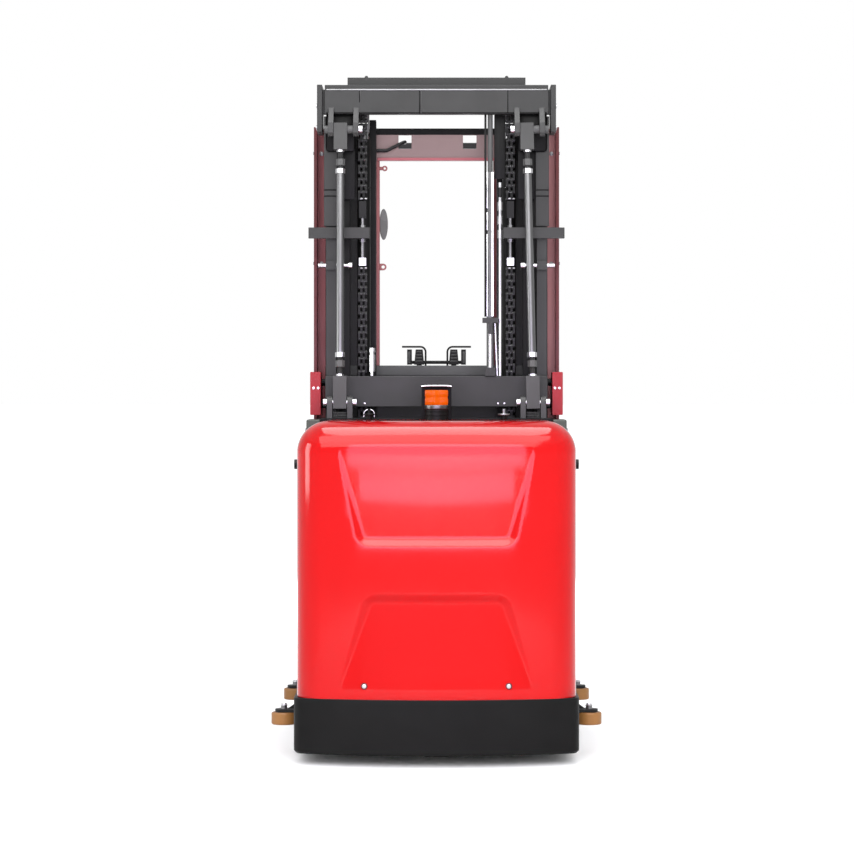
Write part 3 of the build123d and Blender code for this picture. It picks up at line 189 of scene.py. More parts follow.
SHARP_ANGLE = 35
FLAT_ANGLE, WELD_DISTANCE, CUT_DISTANCE = 0.5, 0.00002, 0.00001
BEVEL_ANGLE, BEVEL_SEGMENTS = 40, 2
QUARTER_TURN = [math.radians(angle) for angle in (0, 30, 60, 90)]
NEARLY_ALONG = 0.9
# A screw's washer as shares of its head's radius and of its height
WASHER_REACH, WASHER_HEIGHT, WASHER_EDGE, HEAD_EDGE = 1.45, 0.3, 0.1, 0.12


def piece(name, mesh, materials, body, stands_for=(), sharp=SHARP_ANGLE):
    """Adds a finished mesh to the scene on the body that it moves with."""
    data = bpy.data.meshes.new(name)
    bmesh.ops.recalc_face_normals(mesh, faces=mesh.faces[:])
    mesh.to_mesh(data)
    mesh.free()
    for material in materials:
        data.materials.append(MATERIALS[material])
    data.shade_smooth()
    data.set_sharp_from_angle(angle=math.radians(sharp))
    obj = bpy.data.objects.new(name, data)
    bpy.context.scene.collection.objects.link(obj)
    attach(obj, body)
    if stands_for:
        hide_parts(*stands_for)
    return obj


def dress(node, materials, edge, rule=None, cuts=()):
    """A CAD node's own form with rounded edges; a rule gives each face its material by its place.

    Cuts are (axis, place) pairs where a flat face is split so that its parts can be painted apart.
    """
    mesh = bmesh.new()
    mesh.from_mesh(nodes[node].data)
    bmesh.ops.remove_doubles(mesh, verts=mesh.verts[:], dist=WELD_DISTANCE)
    bmesh.ops.dissolve_limit(
        mesh, angle_limit=math.radians(FLAT_ANGLE), verts=mesh.verts[:], edges=mesh.edges[:],
    )
    for axis, place in cuts:
        spot = at(*[place if name == axis else 0 for name in "xyz"])
        normal = Vector([1.0 if name == axis else 0.0 for name in "xyz"])
        everything = mesh.verts[:] + mesh.edges[:] + mesh.faces[:]
        bmesh.ops.bisect_plane(mesh, geom=everything, dist=CUT_DISTANCE, plane_co=spot, plane_no=normal)
    for face in mesh.faces:
        middle = face.calc_center_median()
        place = (middle.x * METRE, (middle.y - REAR) * METRE, middle.z * METRE)
        face.material_index = rule(*place) if rule else 0
    obj = piece(f"{node}_finish", mesh, materials, body_of[node], (node,))
    layers = obj.data.attributes
    if "custom_normal" in layers:
        layers.remove(layers["custom_normal"])
    if edge:
        bevel = obj.modifiers.new("rounded edges", "BEVEL")
        bevel.width = edge / METRE
        bevel.segments = BEVEL_SEGMENTS
        bevel.limit_method = "ANGLE"
        bevel.angle_limit = math.radians(BEVEL_ANGLE)
        bevel.harden_normals = True


def turned(mesh, profile, place, axis=UP, steps=32, material=0, ripple=None):
    """Adds a turned shape: profile is (radius, height) pairs along the axis, ripple a change of radius."""
    turn = UP.rotation_difference(Vector(axis)).to_matrix()
    rings = []
    for radius, height in profile:
        ring = []
        for step in range(steps if radius > 0 else 1):
            angle = 2 * math.pi * step / steps
            reach = radius + (ripple(angle, height) if ripple and radius > 0 else 0)
            spot = Vector((reach * math.cos(angle), reach * math.sin(angle), height)) / METRE
            ring.append(mesh.verts.new(place + turn @ spot))
        rings.append(ring)
    for low, high in zip(rings, rings[1:]):
        for step in range(steps):
            after = step + 1
            corners = (low[step % len(low)], low[after % len(low)],
                       high[after % len(high)], high[step % len(high)])
            corners = list(dict.fromkeys(corners))
            if len(corners) > 2:
                mesh.faces.new(corners).material_index = material


def rounded(radius, length, edge, bore=0.0):
    """The profile of a disc or pin with rounded ends."""
    low = [(radius - edge + edge * math.sin(a), edge - edge * math.cos(a)) for a in QUARTER_TURN]
    high = [(radius - edge + edge * math.cos(a), length - edge + edge * math.sin(a)) for a in QUARTER_TURN]
    profile = [(bore, 0)] + low + high + [(bore, length)]
    return profile + [(bore, 0)] if bore else profile


def screw(mesh, place, axis, radius, height, material=0):
    """Adds a six-sided screw head on a washer."""
    washer = rounded(radius * WASHER_REACH, height * WASHER_HEIGHT, height * WASHER_EDGE)
    turned(mesh, washer, place, axis, 20, material)
    head = rounded(radius, height * (1 - WASHER_HEIGHT), height * HEAD_EDGE)
    turned(mesh, head, place + Vector(axis) * height * WASHER_HEIGHT / METRE, axis, 6, material)


def bar(mesh, low, high, edge, material=0):
    """Adds a box with rounded edges between two corners."""
    start, end = at(*low), at(*high)
    corners = bmesh.ops.create_cube(mesh, size=1.0)["verts"]
    for corner in corners:
        corner.co = Vector([(a + b) / 2 + c * (b - a) for a, b, c in zip(start, end, corner.co)])
    edges = list({e for corner in corners for e in corner.link_edges})
    done = bmesh.ops.bevel(
        mesh, geom=edges, offset=edge / METRE, segments=BEVEL_SEGMENTS, profile=0.5, affect="EDGES",
    )
    corners = {corner for face in done["faces"] for corner in face.verts}
    for face in {face for corner in corners for face in corner.link_faces}:
        face.material_index = material


def twin_bars(mesh, low, high, edge, material=0):
    """Adds a bar on the right side and its mirror image on the left."""
    for side in SIDES:
        near, far = sorted((side * low[0], side * high[0]))
        bar(mesh, (near, *low[1:]), (far, *high[1:]), edge, material)


def bar_piece(name, material, body, bars=(), twins=()):
    """A piece made of bars, given as (low, high, edge); twins stand on both sides."""
    mesh = bmesh.new()
    for row in bars:
        bar(mesh, *row)
    for row in twins:
        twin_bars(mesh, *row)
    piece(name, mesh, [material], body)


def tube(mesh, path, radius, steps):
    """Adds a round bar along a line of places."""
    side = RIGHT
    rings = []
    for index, spot in enumerate(path):
        ahead = path[min(index + 1, len(path) - 1)] - path[max(index - 1, 0)]
        ahead.normalize()
        if abs(side.dot(ahead)) > NEARLY_ALONG:
            side = FORWARD if abs(ahead.y) < NEARLY_ALONG else UP
        side = (side - ahead * side.dot(ahead)).normalized()
        other = ahead.cross(side)
        ring = []
        for step in range(steps):
            angle = 2 * math.pi * step / steps
            outward = side * math.cos(angle) + other * math.sin(angle)
            ring.append(mesh.verts.new(spot + outward * radius / METRE))
        rings.append(ring)
    for low, high in zip(rings, rings[1:]):
        for step in range(steps):
            after = (step + 1) % steps
            mesh.faces.new((low[step], low[after], high[after], high[step]))
    mesh.faces.new(rings[0])
    mesh.faces.new(rings[-1])


# The hood: a fine skin with two softly edged recesses, and a coarse one inside it

HOOD_HALF, HOOD_FRONT, HOOD_TOP = span("hood")[1]
HOOD_BOTTOM = span("hood")[0][2]
HOOD_SETBACK, HOOD_BOW, HOOD_CORNER, HOOD_ROLL, HOOD_WALL = 12, 82, 126, 114, 12
BOW_RADIUS = (HOOD_HALF ** 2 + HOOD_BOW ** 2) / (2 * HOOD_BOW)
# Each recess: rim height at its deep end, height where it fades out, half width at either end
RECESSES = ((788, 1140, 288, 356), (620, 276, 262, 352))
RECESS_DEPTH, RECESS_SLANT, RECESS_CORNER = 30, 1.15, 46
FLOOR_BLEND, RIM_BLEND = 7, 4
# Recesses lie in faces turned this far backward, and end this far up the roll
RECESS_FACING, RECESS_RISE = -0.5, 20
# Length of a face on the rear, and how much longer it is at the sides, the corners and the roll
FINE_STEP, COARSE_STEP = 4.4, 40
SIDE_STRETCH, CORNER_STRETCH, ROLL_STRETCH = 10, 1.6, 2.2
SIDE_FACES, CORNER_FACES, REAR_FACES, ROLL_FACES = 6, 8, 12, 8
HOOD_BOLT_X, HOOD_BOLT_Z, BOLT_SINK = 259.5, 289, 0.5


def smooth_min(a, b, width):
    """The smaller of two values with a rounded change between them."""
    mix = max(width - abs(a - b), 0.0) / width
    return min(a, b) - mix * mix * width / 4


def recess(x, z):
    """How deep the hood is pressed in at a place of its rear."""
    depth = 0.0
    for deep_z, fade_z, deep_half, fade_half in RECESSES:
        height = abs(fade_z - deep_z)
        inside = (z - deep_z) * (1 if fade_z > deep_z else -1)
        half = deep_half + (fade_half - deep_half) * inside / height
        beside = (half - abs(x)) * height / math.hypot(height, fade_half - deep_half)
        if min(inside, beside) < RECESS_CORNER:
            short = math.hypot(max(RECESS_CORNER - inside, 0), max(RECESS_CORNER - beside, 0))
            rim = RECESS_CORNER - short
        else:
            rim = min(inside, beside)
        floor = RECESS_DEPTH * (1 - inside / height)
        pressed = smooth_min(floor, rim / RECESS_SLANT, FLOOR_BLEND)
        depth = max(depth, -smooth_min(-pressed, 0, RIM_BLEND) - RIM_BLEND / 4)
    return depth


def hood_outline(step):
    """Places and outward directions round the hood's plan, from its right front to its left front."""
    middle_y = HOOD_SETBACK + BOW_RADIUS
    corner_x = HOOD_HALF - HOOD_CORNER
    corner_y = middle_y - math.sqrt((BOW_RADIUS - HOOD_CORNER) ** 2 - corner_x ** 2)
    end_x = corner_x * BOW_RADIUS / (BOW_RADIUS - HOOD_CORNER)
    end_y = middle_y - (middle_y - corner_y) * BOW_RADIUS / (BOW_RADIUS - HOOD_CORNER)
    half = []
    count = max(int((HOOD_FRONT - corner_y) / (step * SIDE_STRETCH)), SIDE_FACES)
    for index in range(count):
        half.append((HOOD_HALF, HOOD_FRONT + (corner_y - HOOD_FRONT) * index / count, 1, 0))
    sweep = math.atan2(corner_y - end_y, end_x - corner_x)
    count = max(int(HOOD_CORNER * sweep / (step * CORNER_STRETCH)), CORNER_FACES)
    for index in range(count):
        angle = -sweep * index / count
        across, along = math.cos(angle), math.sin(angle)
        half.append((corner_x + HOOD_CORNER * across, corner_y + HOOD_CORNER * along, across, along))
    count = max(int(end_x / step), REAR_FACES)
    for index in range(count):
        x = end_x * (1 - index / count)
        drop = math.sqrt(BOW_RADIUS ** 2 - x * x)
        half.append((x, middle_y - drop, x / BOW_RADIUS, -drop / BOW_RADIUS))
    middle = [(0, HOOD_SETBACK, 0, -1)]
    return half + middle + [(-x, y, -across, along) for x, y, across, along in reversed(half)]


def add_hood_skin(mesh, step, inset, material):
    """Adds one skin of the hood, set in from the outer form by a wall's thickness."""
    outline = hood_outline(step)
    flat_top = HOOD_TOP - HOOD_ROLL
    count = int((flat_top - HOOD_BOTTOM) / step)
    rows = [(inset, HOOD_BOTTOM + (flat_top - HOOD_BOTTOM) * row / count) for row in range(count)]
    turns = max(int(HOOD_ROLL * math.pi / 2 / (step * ROLL_STRETCH)), ROLL_FACES)
    roll = HOOD_ROLL - inset
    for row in range(turns + 1):
        angle = math.pi / 2 * row / turns
        rows.append((inset + roll * (1 - math.cos(angle)), flat_top + roll * math.sin(angle)))
    grid = []
    for reach, z in rows:
        line = []
        for x, y, across, along in outline:
            pressed = along < RECESS_FACING and z < flat_top + RECESS_RISE
            push = reach + (recess(x, z) if pressed else 0)
            line.append(mesh.verts.new(at(x - push * across, y - push * along, z)))
        grid.append(line)
    for low, high in zip(grid, grid[1:]):
        for index in range(len(outline) - 1):
            corners = (low[index], low[index + 1], high[index + 1], high[index])
            mesh.faces.new(corners).material_index = material
    mesh.faces.new(grid[-1]).material_index = material


def make_hood():
    mesh = bmesh.new()
    add_hood_skin(mesh, FINE_STEP, 0, 0)
    add_hood_skin(mesh, COARSE_STEP, HOOD_WALL, 1)
    piece("hood_moulding", mesh, ["red_moulding", "black_moulding"], "chassis", ("hood",), sharp=60)
    mesh = bmesh.new()
    sag = BOW_RADIUS - math.sqrt(BOW_RADIUS ** 2 - HOOD_BOLT_X ** 2)
    bolt_y = HOOD_SETBACK + sag + recess(HOOD_BOLT_X, HOOD_BOLT_Z) + BOLT_SINK
    for side in SIDES:
        place = at(side * HOOD_BOLT_X, bolt_y, HOOD_BOLT_Z)
        turned(mesh, rounded(12.5, 3, 1), place, BACK, 24, 1)
        turned(mesh, rounded(8, 5, 2), place, BACK, 24, 0)
    piece("hood_bolts", mesh, ["zinc_white", "post_edge"], "chassis")


# Leaf chains

CHAIN_X, CHAIN_Y, CHAIN_PITCH, CHAIN_END = 290, 1065.1, 25.4, 8.6
CHAIN_WAIST, CHAIN_GAP = 0.72, 1
ANCHOR_TOP, ANCHOR_BOTTOM, CHAIN_FOOT = 2094, 1841, 1150
SHEAVE_Y, SHEAVE_Z, SHEAVE_REACH = 1120, 2452, 54.9
PLATE_PLACES = (-15.2, -10.9, -6.5, -2.2, 2.2, 6.5, 10.9, 15.2)
PLATE_THICKNESS = 3.6
PIN_RADIUS, PIN_LENGTH = 4.2, 35
# The end block below the last pin: half width, half depth, and how far down it starts and ends
BLOCK_HALF, BLOCK_DEEP, BLOCK_START, BLOCK_END = 14, 9, 8, 36
TIE_ROD_RADIUS, TIE_ROD_FOOT = 8, 100


def add_plate(mesh, x, start, end):
    """Adds one waisted link plate between two pins given as (y, z)."""
    along = Vector((end[0] - start[0], end[1] - start[1]))
    length = along.length
    along /= length
    across = Vector((-along.y, along.x))
    outline = []
    for centre, first in ((length, -90), (0, 90)):
        for turn in range(0, 181, 30):
            angle = math.radians(first + turn)
            outline.append((centre + CHAIN_END * math.cos(angle), CHAIN_END * math.sin(angle)))
        outline.append((length / 2, CHAIN_END * CHAIN_WAIST * (1 if first < 0 else -1)))
    faces = []
    for side in SIDES:
        ring = []
        for u, v in outline:
            y = start[0] + along.x * u + across.x * v
            z = start[1] + along.y * u + across.y * v
            ring.append(mesh.verts.new(at(x + side * PLATE_THICKNESS / 2, y, z)))
        faces.append(ring)
        mesh.faces.new(ring)
    for index in range(len(outline)):
        after = (index + 1) % len(outline)
        mesh.faces.new((faces[0][index], faces[0][after], faces[1][after], faces[1][index]))


def make_chain(name, pins, body, node):
    """Link plates in a staggered lacing on bright pins, on both sides of the mast."""
    mesh = bmesh.new()
    pin = rounded(PIN_RADIUS, PIN_LENGTH, 1)
    for side in SIDES:
        for index, (start, end) in enumerate(zip(pins, pins[1:])):
            for column, offset in enumerate(PLATE_PLACES):
                if (column // 2 + index) % 2 == 0:
                    add_plate(mesh, side * CHAIN_X + offset, start, end)
        for y, z in pins:
            turned(mesh, pin, at(side * CHAIN_X - PIN_LENGTH / 2, y, z), RIGHT, 12, 1)
    piece(name, mesh, ["chain_steel", "zinc_grey"], body, (node,), sharp=30)


def make_chains():
    """The upper run with its turn over the sheave, the lower run, and the rod that holds its end."""
    pins = []
    z = ANCHOR_TOP + CHAIN_END + CHAIN_GAP
    while z < SHEAVE_Z:
        pins.append((CHAIN_Y, z))
        z += CHAIN_PITCH
    angle = math.pi - (z - SHEAVE_Z) / SHEAVE_REACH
    while angle > 0:
        pins.append((SHEAVE_Y + SHEAVE_REACH * math.cos(angle), SHEAVE_Z + SHEAVE_REACH * math.sin(angle)))
        angle -= CHAIN_PITCH / SHEAVE_REACH
    make_chain("upper_chain_links", pins, "inner_mast", "mast_chains")
    count = int((ANCHOR_BOTTOM - CHAIN_FOOT - 2 * CHAIN_END) / CHAIN_PITCH)
    top = ANCHOR_BOTTOM - CHAIN_END - CHAIN_GAP
    pins = [(CHAIN_Y, top - CHAIN_PITCH * index) for index in range(count + 1)]
    make_chain("lower_chain_links", pins, "chassis", "chain_lower_runs")
    mesh = bmesh.new()
    last = pins[-1][1]
    rod = rounded(TIE_ROD_RADIUS, last - BLOCK_END - TIE_ROD_FOOT, 1)
    twin_bars(mesh, (CHAIN_X - BLOCK_HALF, CHAIN_Y - BLOCK_DEEP, last - BLOCK_END),
              (CHAIN_X + BLOCK_HALF, CHAIN_Y + BLOCK_DEEP, last - BLOCK_START), 2)
    for side in SIDES:
        turned(mesh, rod, at(side * CHAIN_X, CHAIN_Y, TIE_ROD_FOOT), UP, 20)
    piece("chain_tie_rods", mesh, ["zinc_grey"], "chassis")


# Wheels and rollers

ROLLER_X, ROLLER_BASE, ROLLER_RADIUS, ROLLER_WIDTH, ROLLER_BORE = 569, 106, 47, 46, 12.3
ROLLER_ENDS = (("rear", 480), ("front", 1420))
ROLLER_SHOULDER, SHOULDER_TURNS = 6, (0.3, 0.8, 1.3)
# The groove in a roller's faces, as radii with its rims beside it, and the rivets in it
ROLLER_RIMS, ROLLER_GROOVE, GROOVE_DEPTH = (22, 39), (24, 36), 3
RIVETS, RIVET_RING, RIVET_SINK = 6, 30, 2.5
TYRE_LIP, TYRE_GAP, TYRE_CHAMFER = 11, 0.4, (6, 2)
# A hub's dish: width of the rims at the bore and the tyre, width of the slopes, depth
HUB_RIM, HUB_SLOPE, HUB_DEPTH = 14, 3, 9


def make_rollers():
    core = ROLLER_RADIUS - ROLLER_SHOULDER
    shoulder_top = ROLLER_WIDTH - ROLLER_SHOULDER
    groove_top = ROLLER_WIDTH - GROOVE_DEPTH
    profile = [(ROLLER_BORE, 0), (ROLLER_RIMS[0], 0), (ROLLER_GROOVE[0], GROOVE_DEPTH)]
    profile += [(ROLLER_GROOVE[1], GROOVE_DEPTH), (ROLLER_RIMS[1], 0), (core, 0)]
    profile += [(core + ROLLER_SHOULDER * math.sin(a), ROLLER_SHOULDER * (1 - math.cos(a)))
                for a in SHOULDER_TURNS]
    profile += [(ROLLER_RADIUS, 8), (ROLLER_RADIUS, ROLLER_WIDTH - 8)]
    profile += [(core + ROLLER_SHOULDER * math.cos(a), shoulder_top + ROLLER_SHOULDER * math.sin(a))
                for a in SHOULDER_TURNS]
    profile += [(core, ROLLER_WIDTH), (ROLLER_RIMS[1], ROLLER_WIDTH), (ROLLER_GROOVE[1], groove_top)]
    profile += [(ROLLER_GROOVE[0], groove_top), (ROLLER_RIMS[0], ROLLER_WIDTH)]
    profile += [(ROLLER_BORE, ROLLER_WIDTH), (ROLLER_BORE, 0)]
    for end, y in ROLLER_ENDS:
        for word, side in SIDE_NAMES:
            mesh = bmesh.new()
            x = side * ROLLER_X
            turned(mesh, profile, at(x, y, ROLLER_BASE), UP, 64)
            for step in range(RIVETS):
                angle = 2 * math.pi * step / RIVETS
                across, along = RIVET_RING * math.cos(angle), RIVET_RING * math.sin(angle)
                spot = at(x + across, y + along, ROLLER_BASE + RIVET_SINK)
                turned(mesh, rounded(3.5, 2, 0.5), spot, -UP, 10, 1)
            node = f"guide_roller_{end}_{word}"
            piece(f"{node}_tread", mesh, ["tan_roller", "zinc_grey"], body_of[node], (node,), sharp=30)


def make_wheel(name, x, y, radius, hub, width, bore, bolts, tyre_node, hub_node):
    """A smooth tyre with rounded shoulders and a dished hub with its bolts."""
    half = width / 2
    core = radius - TYRE_LIP
    seat = hub + TYRE_GAP
    wide, deep = TYRE_CHAMFER
    profile = [(seat, -half + deep), (hub + wide, -half)]
    profile += [(core + TYRE_LIP * math.sin(a), -half + TYRE_LIP * (1 - math.cos(a))) for a in QUARTER_TURN]
    profile += [(core + TYRE_LIP * math.cos(a), half - TYRE_LIP * (1 - math.sin(a))) for a in QUARTER_TURN]
    profile += [(hub + wide, half), (seat, half - deep), (seat, -half + deep)]
    mesh = bmesh.new()
    turned(mesh, profile, at(x, y, radius), RIGHT, 72)
    piece(f"{name}_tread", mesh, ["wheel_tyre"], body_of[tyre_node], (tyre_node,))
    dish = hub - HUB_RIM
    floor = half - HUB_DEPTH
    inner, slope = bore + HUB_RIM, bore + HUB_RIM + HUB_SLOPE
    outer_face = [(bore, half), (inner, half), (slope, floor), (dish - HUB_SLOPE, floor), (dish, half - 1)]
    outer_face += [(hub - 1, half), (hub, half - 1)]
    profile = [(reach, -height) for reach, height in outer_face] + outer_face[::-1] + [(bore, -half)]
    mesh = bmesh.new()
    turned(mesh, profile, at(x, y, radius), RIGHT, 64)
    ring = (dish + inner + 1) / 2
    for step in range(bolts):
        angle = 2 * math.pi * step / bolts
        for side in SIDES:
            spot = at(x + side * floor, y + ring * math.cos(angle), radius + ring * math.sin(angle))
            screw(mesh, spot, RIGHT * side, 5, 8, 1)
    piece(f"{name}_rim", mesh, ["cast_hub", "zinc_grey"], body_of[hub_node], (hub_node,))


def make_wheels():
    make_wheel("drive_wheel", 0, 340, 125, 92, 100, 26.3, 8, "drive_tyre", "drive_hub")
    for word, side in SIDE_NAMES:
        make_wheel(f"load_wheel_{word}", side * 410, 1820, 100, 70, 90, 20.3, 6,
                   f"load_tyre_{word}", f"load_hub_{word}")


# Beacon

BEACON_Y = 690
BEACON_FOOT, BEACON_SEAT = (span("beacon_base")[corner][2] for corner in (0, 1))
RING_HEIGHT = 16
LENS_RIBS, RIB_HEIGHT = 48, 0.8
GUARD_HALF, GUARD_RIM_Z, GUARD_DROP, RIM_POINTS = 57, 1369, 2.5, 12


def lens_ribs(angle, height):
    """Upright ribs round the lens, above its flat foot."""
    return RIB_HEIGHT * math.cos(angle * LENS_RIBS) if height > 0.5 else 0


def make_beacon():
    """A foot with two grooves, a bright ring, a ribbed lens in two tiers and the guard with its rim."""
    foot = [(0, 0), (45, 0), (45, 12), (43, 13), (43, 16), (45, 17), (45, 27), (43, 28), (43, 31), (45, 32)]
    foot += [(45, 38), (43, 40), (0, 40)]
    mesh = bmesh.new()
    turned(mesh, foot, at(0, BEACON_Y, BEACON_FOOT), UP, 64)
    piece("beacon_foot", mesh, ["black_moulding"], "chassis", ("beacon_base",))
    tiers = [(0, 0), (43, 0)]
    for low in (1, 31):
        tiers += [(41.5, low), (43.2, low + 2.5), (43.2, low + 23), (41.5, low + 25.5)]
    tiers += [(37, 57), (0, 57)]
    mesh = bmesh.new()
    turned(mesh, tiers, at(0, BEACON_Y, BEACON_SEAT + RING_HEIGHT), UP, 288, ripple=lens_ribs)
    piece("beacon_dome", mesh, ["amber_lens"], "chassis", ("beacon_lens",))
    ring = [(42, 0), (45, 0), (46, 1.5), (46, 6), (44.5, 7), (44.5, 9), (46, 10), (46, 14.5)]
    ring += [(44, RING_HEIGHT), (42, RING_HEIGHT), (42, 0)]
    mesh = bmesh.new()
    turned(mesh, ring, at(0, BEACON_Y, BEACON_SEAT), UP, 64)
    piece("beacon_ring", mesh, ["stay_steel"], "chassis")
    dress("beacon_guard", ["mast_black"], 2)
    mesh = bmesh.new()
    shares = [step / RIM_POINTS for step in range(-RIM_POINTS, RIM_POINTS + 1)]
    rim_y = span("beacon_guard")[0][1]
    rim = [at(GUARD_HALF * share, rim_y, GUARD_RIM_Z - GUARD_DROP * share ** 4) for share in shares]
    tube(mesh, rim, 2.8, 16)
    piece("beacon_guard_rim", mesh, ["zinc_white"], "chassis")


# Mast stays

STAY_ENDS = (((373, 872, 1304), (351, 958, 2366)), ((-373, 872, 1304), (-373, 958, 2366)))
STAY_LOW_BLOCK, STAY_HIGH_BLOCK, STAY_THREAD = 103, 80, 92
THREAD_PITCH, THREAD_ROOT, THREAD_CREST = 2.5, 9.6, 10.6
# The lock nut at the block and the nut at the tube, as distances from the block
LOCK_NUT, TUBE_NUT = 9, (73, 93)
HIGH_PIN_X = 303


def stay_part(x, y, z):
    """Which finish a face of the stays has: tube, bright nut and pin, or grey nut and pin."""
    low, high = STAY_ENDS[0 if x > 0 else 1]
    line = Vector(high) - Vector(low)
    along = (Vector((x, y, z)) - Vector(low)).dot(line.normalized())
    high_end = line.length - STAY_HIGH_BLOCK
    if along > high_end + 1:
        return 1 if abs(x) < HIGH_PIN_X else 2
    if along < STAY_LOW_BLOCK - 1:
        return 1
    near = min(along - STAY_LOW_BLOCK, high_end - along)
    if near < LOCK_NUT or TUBE_NUT[0] < near < TUBE_NUT[1]:
        return 1
    return 2 if near < STAY_THREAD else 0


def make_stays():
    dress("mast_stays", ["stay_steel", "zinc_white", "wall_grey"], 1.2, stay_part)
    dress("stay_blocks", ["ear_grey"], 3)
    profile = []
    for turn in range(int(STAY_THREAD / THREAD_PITCH)):
        profile += [(THREAD_ROOT, turn * THREAD_PITCH), (THREAD_CREST, (turn + 0.5) * THREAD_PITCH)]
    mesh = bmesh.new()
    for low, high in STAY_ENDS:
        line = at(*high) - at(*low)
        length = line.length * METRE
        line.normalize()
        for start in (STAY_LOW_BLOCK, length - STAY_HIGH_BLOCK - STAY_THREAD):
            turned(mesh, profile, at(*low) + line * start / METRE, line, 20)
    piece("stay_threads", mesh, ["mast_grey"], "chassis")


# The rest of the chassis and the mast: which of a node's finishes a face has

RUBBER_LENGTH = (2106, 2145)
CROSS_BOLT_Z, CROSS_BOLT_REACH, BOLT_BLOCK = 1840, 14, (391.9, 432.1)


def tower_part(x, y, z):
    """The ears on the tower's deck are lighter."""
    return 1 if z > 1245.5 else 0


def beam_part(x, y, z):
    """The ears behind the top beam are lighter."""
    return 1 if y < 989 and z < 2460 else 0


def bracket_part(x, y, z):
    """Cross bolts are bright outside their blocks."""
    in_block = BOLT_BLOCK[0] <= abs(x) <= BOLT_BLOCK[1]
    return 1 if abs(z - CROSS_BOLT_Z) < CROSS_BOLT_REACH and not in_block else 0


def pipe_part(x, y, z):
    """The pipes are bright; beside them are a braided hose, the grey guide tube and a rubber length."""
    if 201 < x < 219 and y < 1004:
        return 1
    if 195 < x < 225:
        return 2
    return 3 if x > 237 and RUBBER_LENGTH[0] < z < RUBBER_LENGTH[1] else 0


def anchor_part(x, y, z):
    """A white block below, a grey rod above it and a dark clevis on top."""
    if z < 1874:
        return 1
    return 2 if z < 2027 else 0


def knob_part(x, y, z):
    """The plate of the right knob on the deck is bright."""
    return 1 if z > 1256.5 and x > 0 else 0


def cover_part(x, y, z):
    """The foot covers are red outside the mast and black within it."""
    return 0 if abs(x) > 451.9 else 1


def roller_bracket_part(x, y, z):
    """The axles' upper ends are bright."""
    return 1 if z > 164.6 and abs(abs(x) - ROLLER_X) < 12.5 else 0


def dress_chassis():
    # Node, finishes, rounding, rule, cuts
    rows = (
        ("chassis_frame", ["black_steel"], 3),
        ("straddle_arms", ["black_steel"], 4),
        ("bumper_skirt", ["black_moulding"], 5),
        ("battery", ["battery_case"], 4),
        ("support_tower", ["mast_black", "ear_grey"], 3, tower_part),
        ("side_covers", ["green_grey"], 6),
        ("outer_rails", ["mast_grey"], 2),
        ("mast_top_beam", ["mast_grey", "ear_grey"], 3, beam_part),
        ("mast_lower_beam", ["mast_grey"], 3),
        ("mast_brackets", ["mast_grey", "zinc_white"], 1.5, bracket_part),
        ("mast_foot_covers", ["cover_red", "mast_black"], 2, cover_part),
        ("lift_cylinders", ["mast_black"], 2),
        ("mast_pipes", ["zinc_white", "braid", "tube_grey", "hose_rubber"], 0.8, pipe_part,
         [("z", end) for end in RUBBER_LENGTH]),
        ("chain_adjusters", ["chain_steel", "zinc_white", "zinc_grey"], 1.5, anchor_part),
        ("hood_knobs", ["black_moulding", "zinc_grey"], 1.5, knob_part),
        ("load_axles", ["zinc_grey"], 2),
        ("roller_brackets", ["black_steel", "zinc_grey"], 1.5, roller_bracket_part),
        ("steer_unit", ["cast_hub"], 3),
        ("inner_rails", ["mast_black"], 2),
        ("inner_mast_beam", ["mast_grey"], 2),
        ("chain_sheaves", ["cast_hub"], 1.5),
        ("lift_rods", ["chrome"], 1),
    )
    for row in rows:
        dress(*row)


# Trim of the mast

LOWER_BEAM_REAR = span("mast_lower_beam")[0][1]
TOP_BEAM_SIDE = span("mast_top_beam")[1][0]
TOP_BEAM_REAR, TOP_BEAM_BOTTOM, TOP_BEAM_EDGE = 991, 2432, 2525
BELOW_BEAM = 2430
# Screws: X of the right side, Y, Z, direction, radius, height, and which sides have them
CHASSIS_SCREWS = (
    (280, LOWER_BEAM_REAR, 1301, BACK, 2.4, 3, (-1,)),
    (265, LOWER_BEAM_REAR, 1301, BACK, 2.4, 3, (1,)),
    (240, LOWER_BEAM_REAR, 1301, BACK, 2.4, 3, (1,)),
    (480, LOWER_BEAM_REAR, 1361, BACK, 3.4, 4, SIDES),
    (462, LOWER_BEAM_REAR, 1361, BACK, 3.4, 4, SIDES),
    *((ROLLER_X, y, 176, UP, 10, 9, SIDES) for _, y in ROLLER_ENDS),
)
# Heights of the black strips across the stiffeners: painted shade in their grooves
GROOVE_SHADE_HEIGHTS = (2136, 2112)
# Painted highlights along the guide tube's edges, in lengths between its clips
TUBE_FOOT, TUBE_TOP = 1640, 2204
HIGHLIGHT_LENGTHS = ((TUBE_FOOT, 1962), (1978, 2047), (2063, TUBE_TOP))
# The wire bail on the hood's deck: middle, half width, rise, straight legs, points
BAIL_MIDDLE, BAIL_HALF, BAIL_RISE, BAIL_LEG, BAIL_POINTS = (-257, 738, 1262), 20, 17, 12, 16


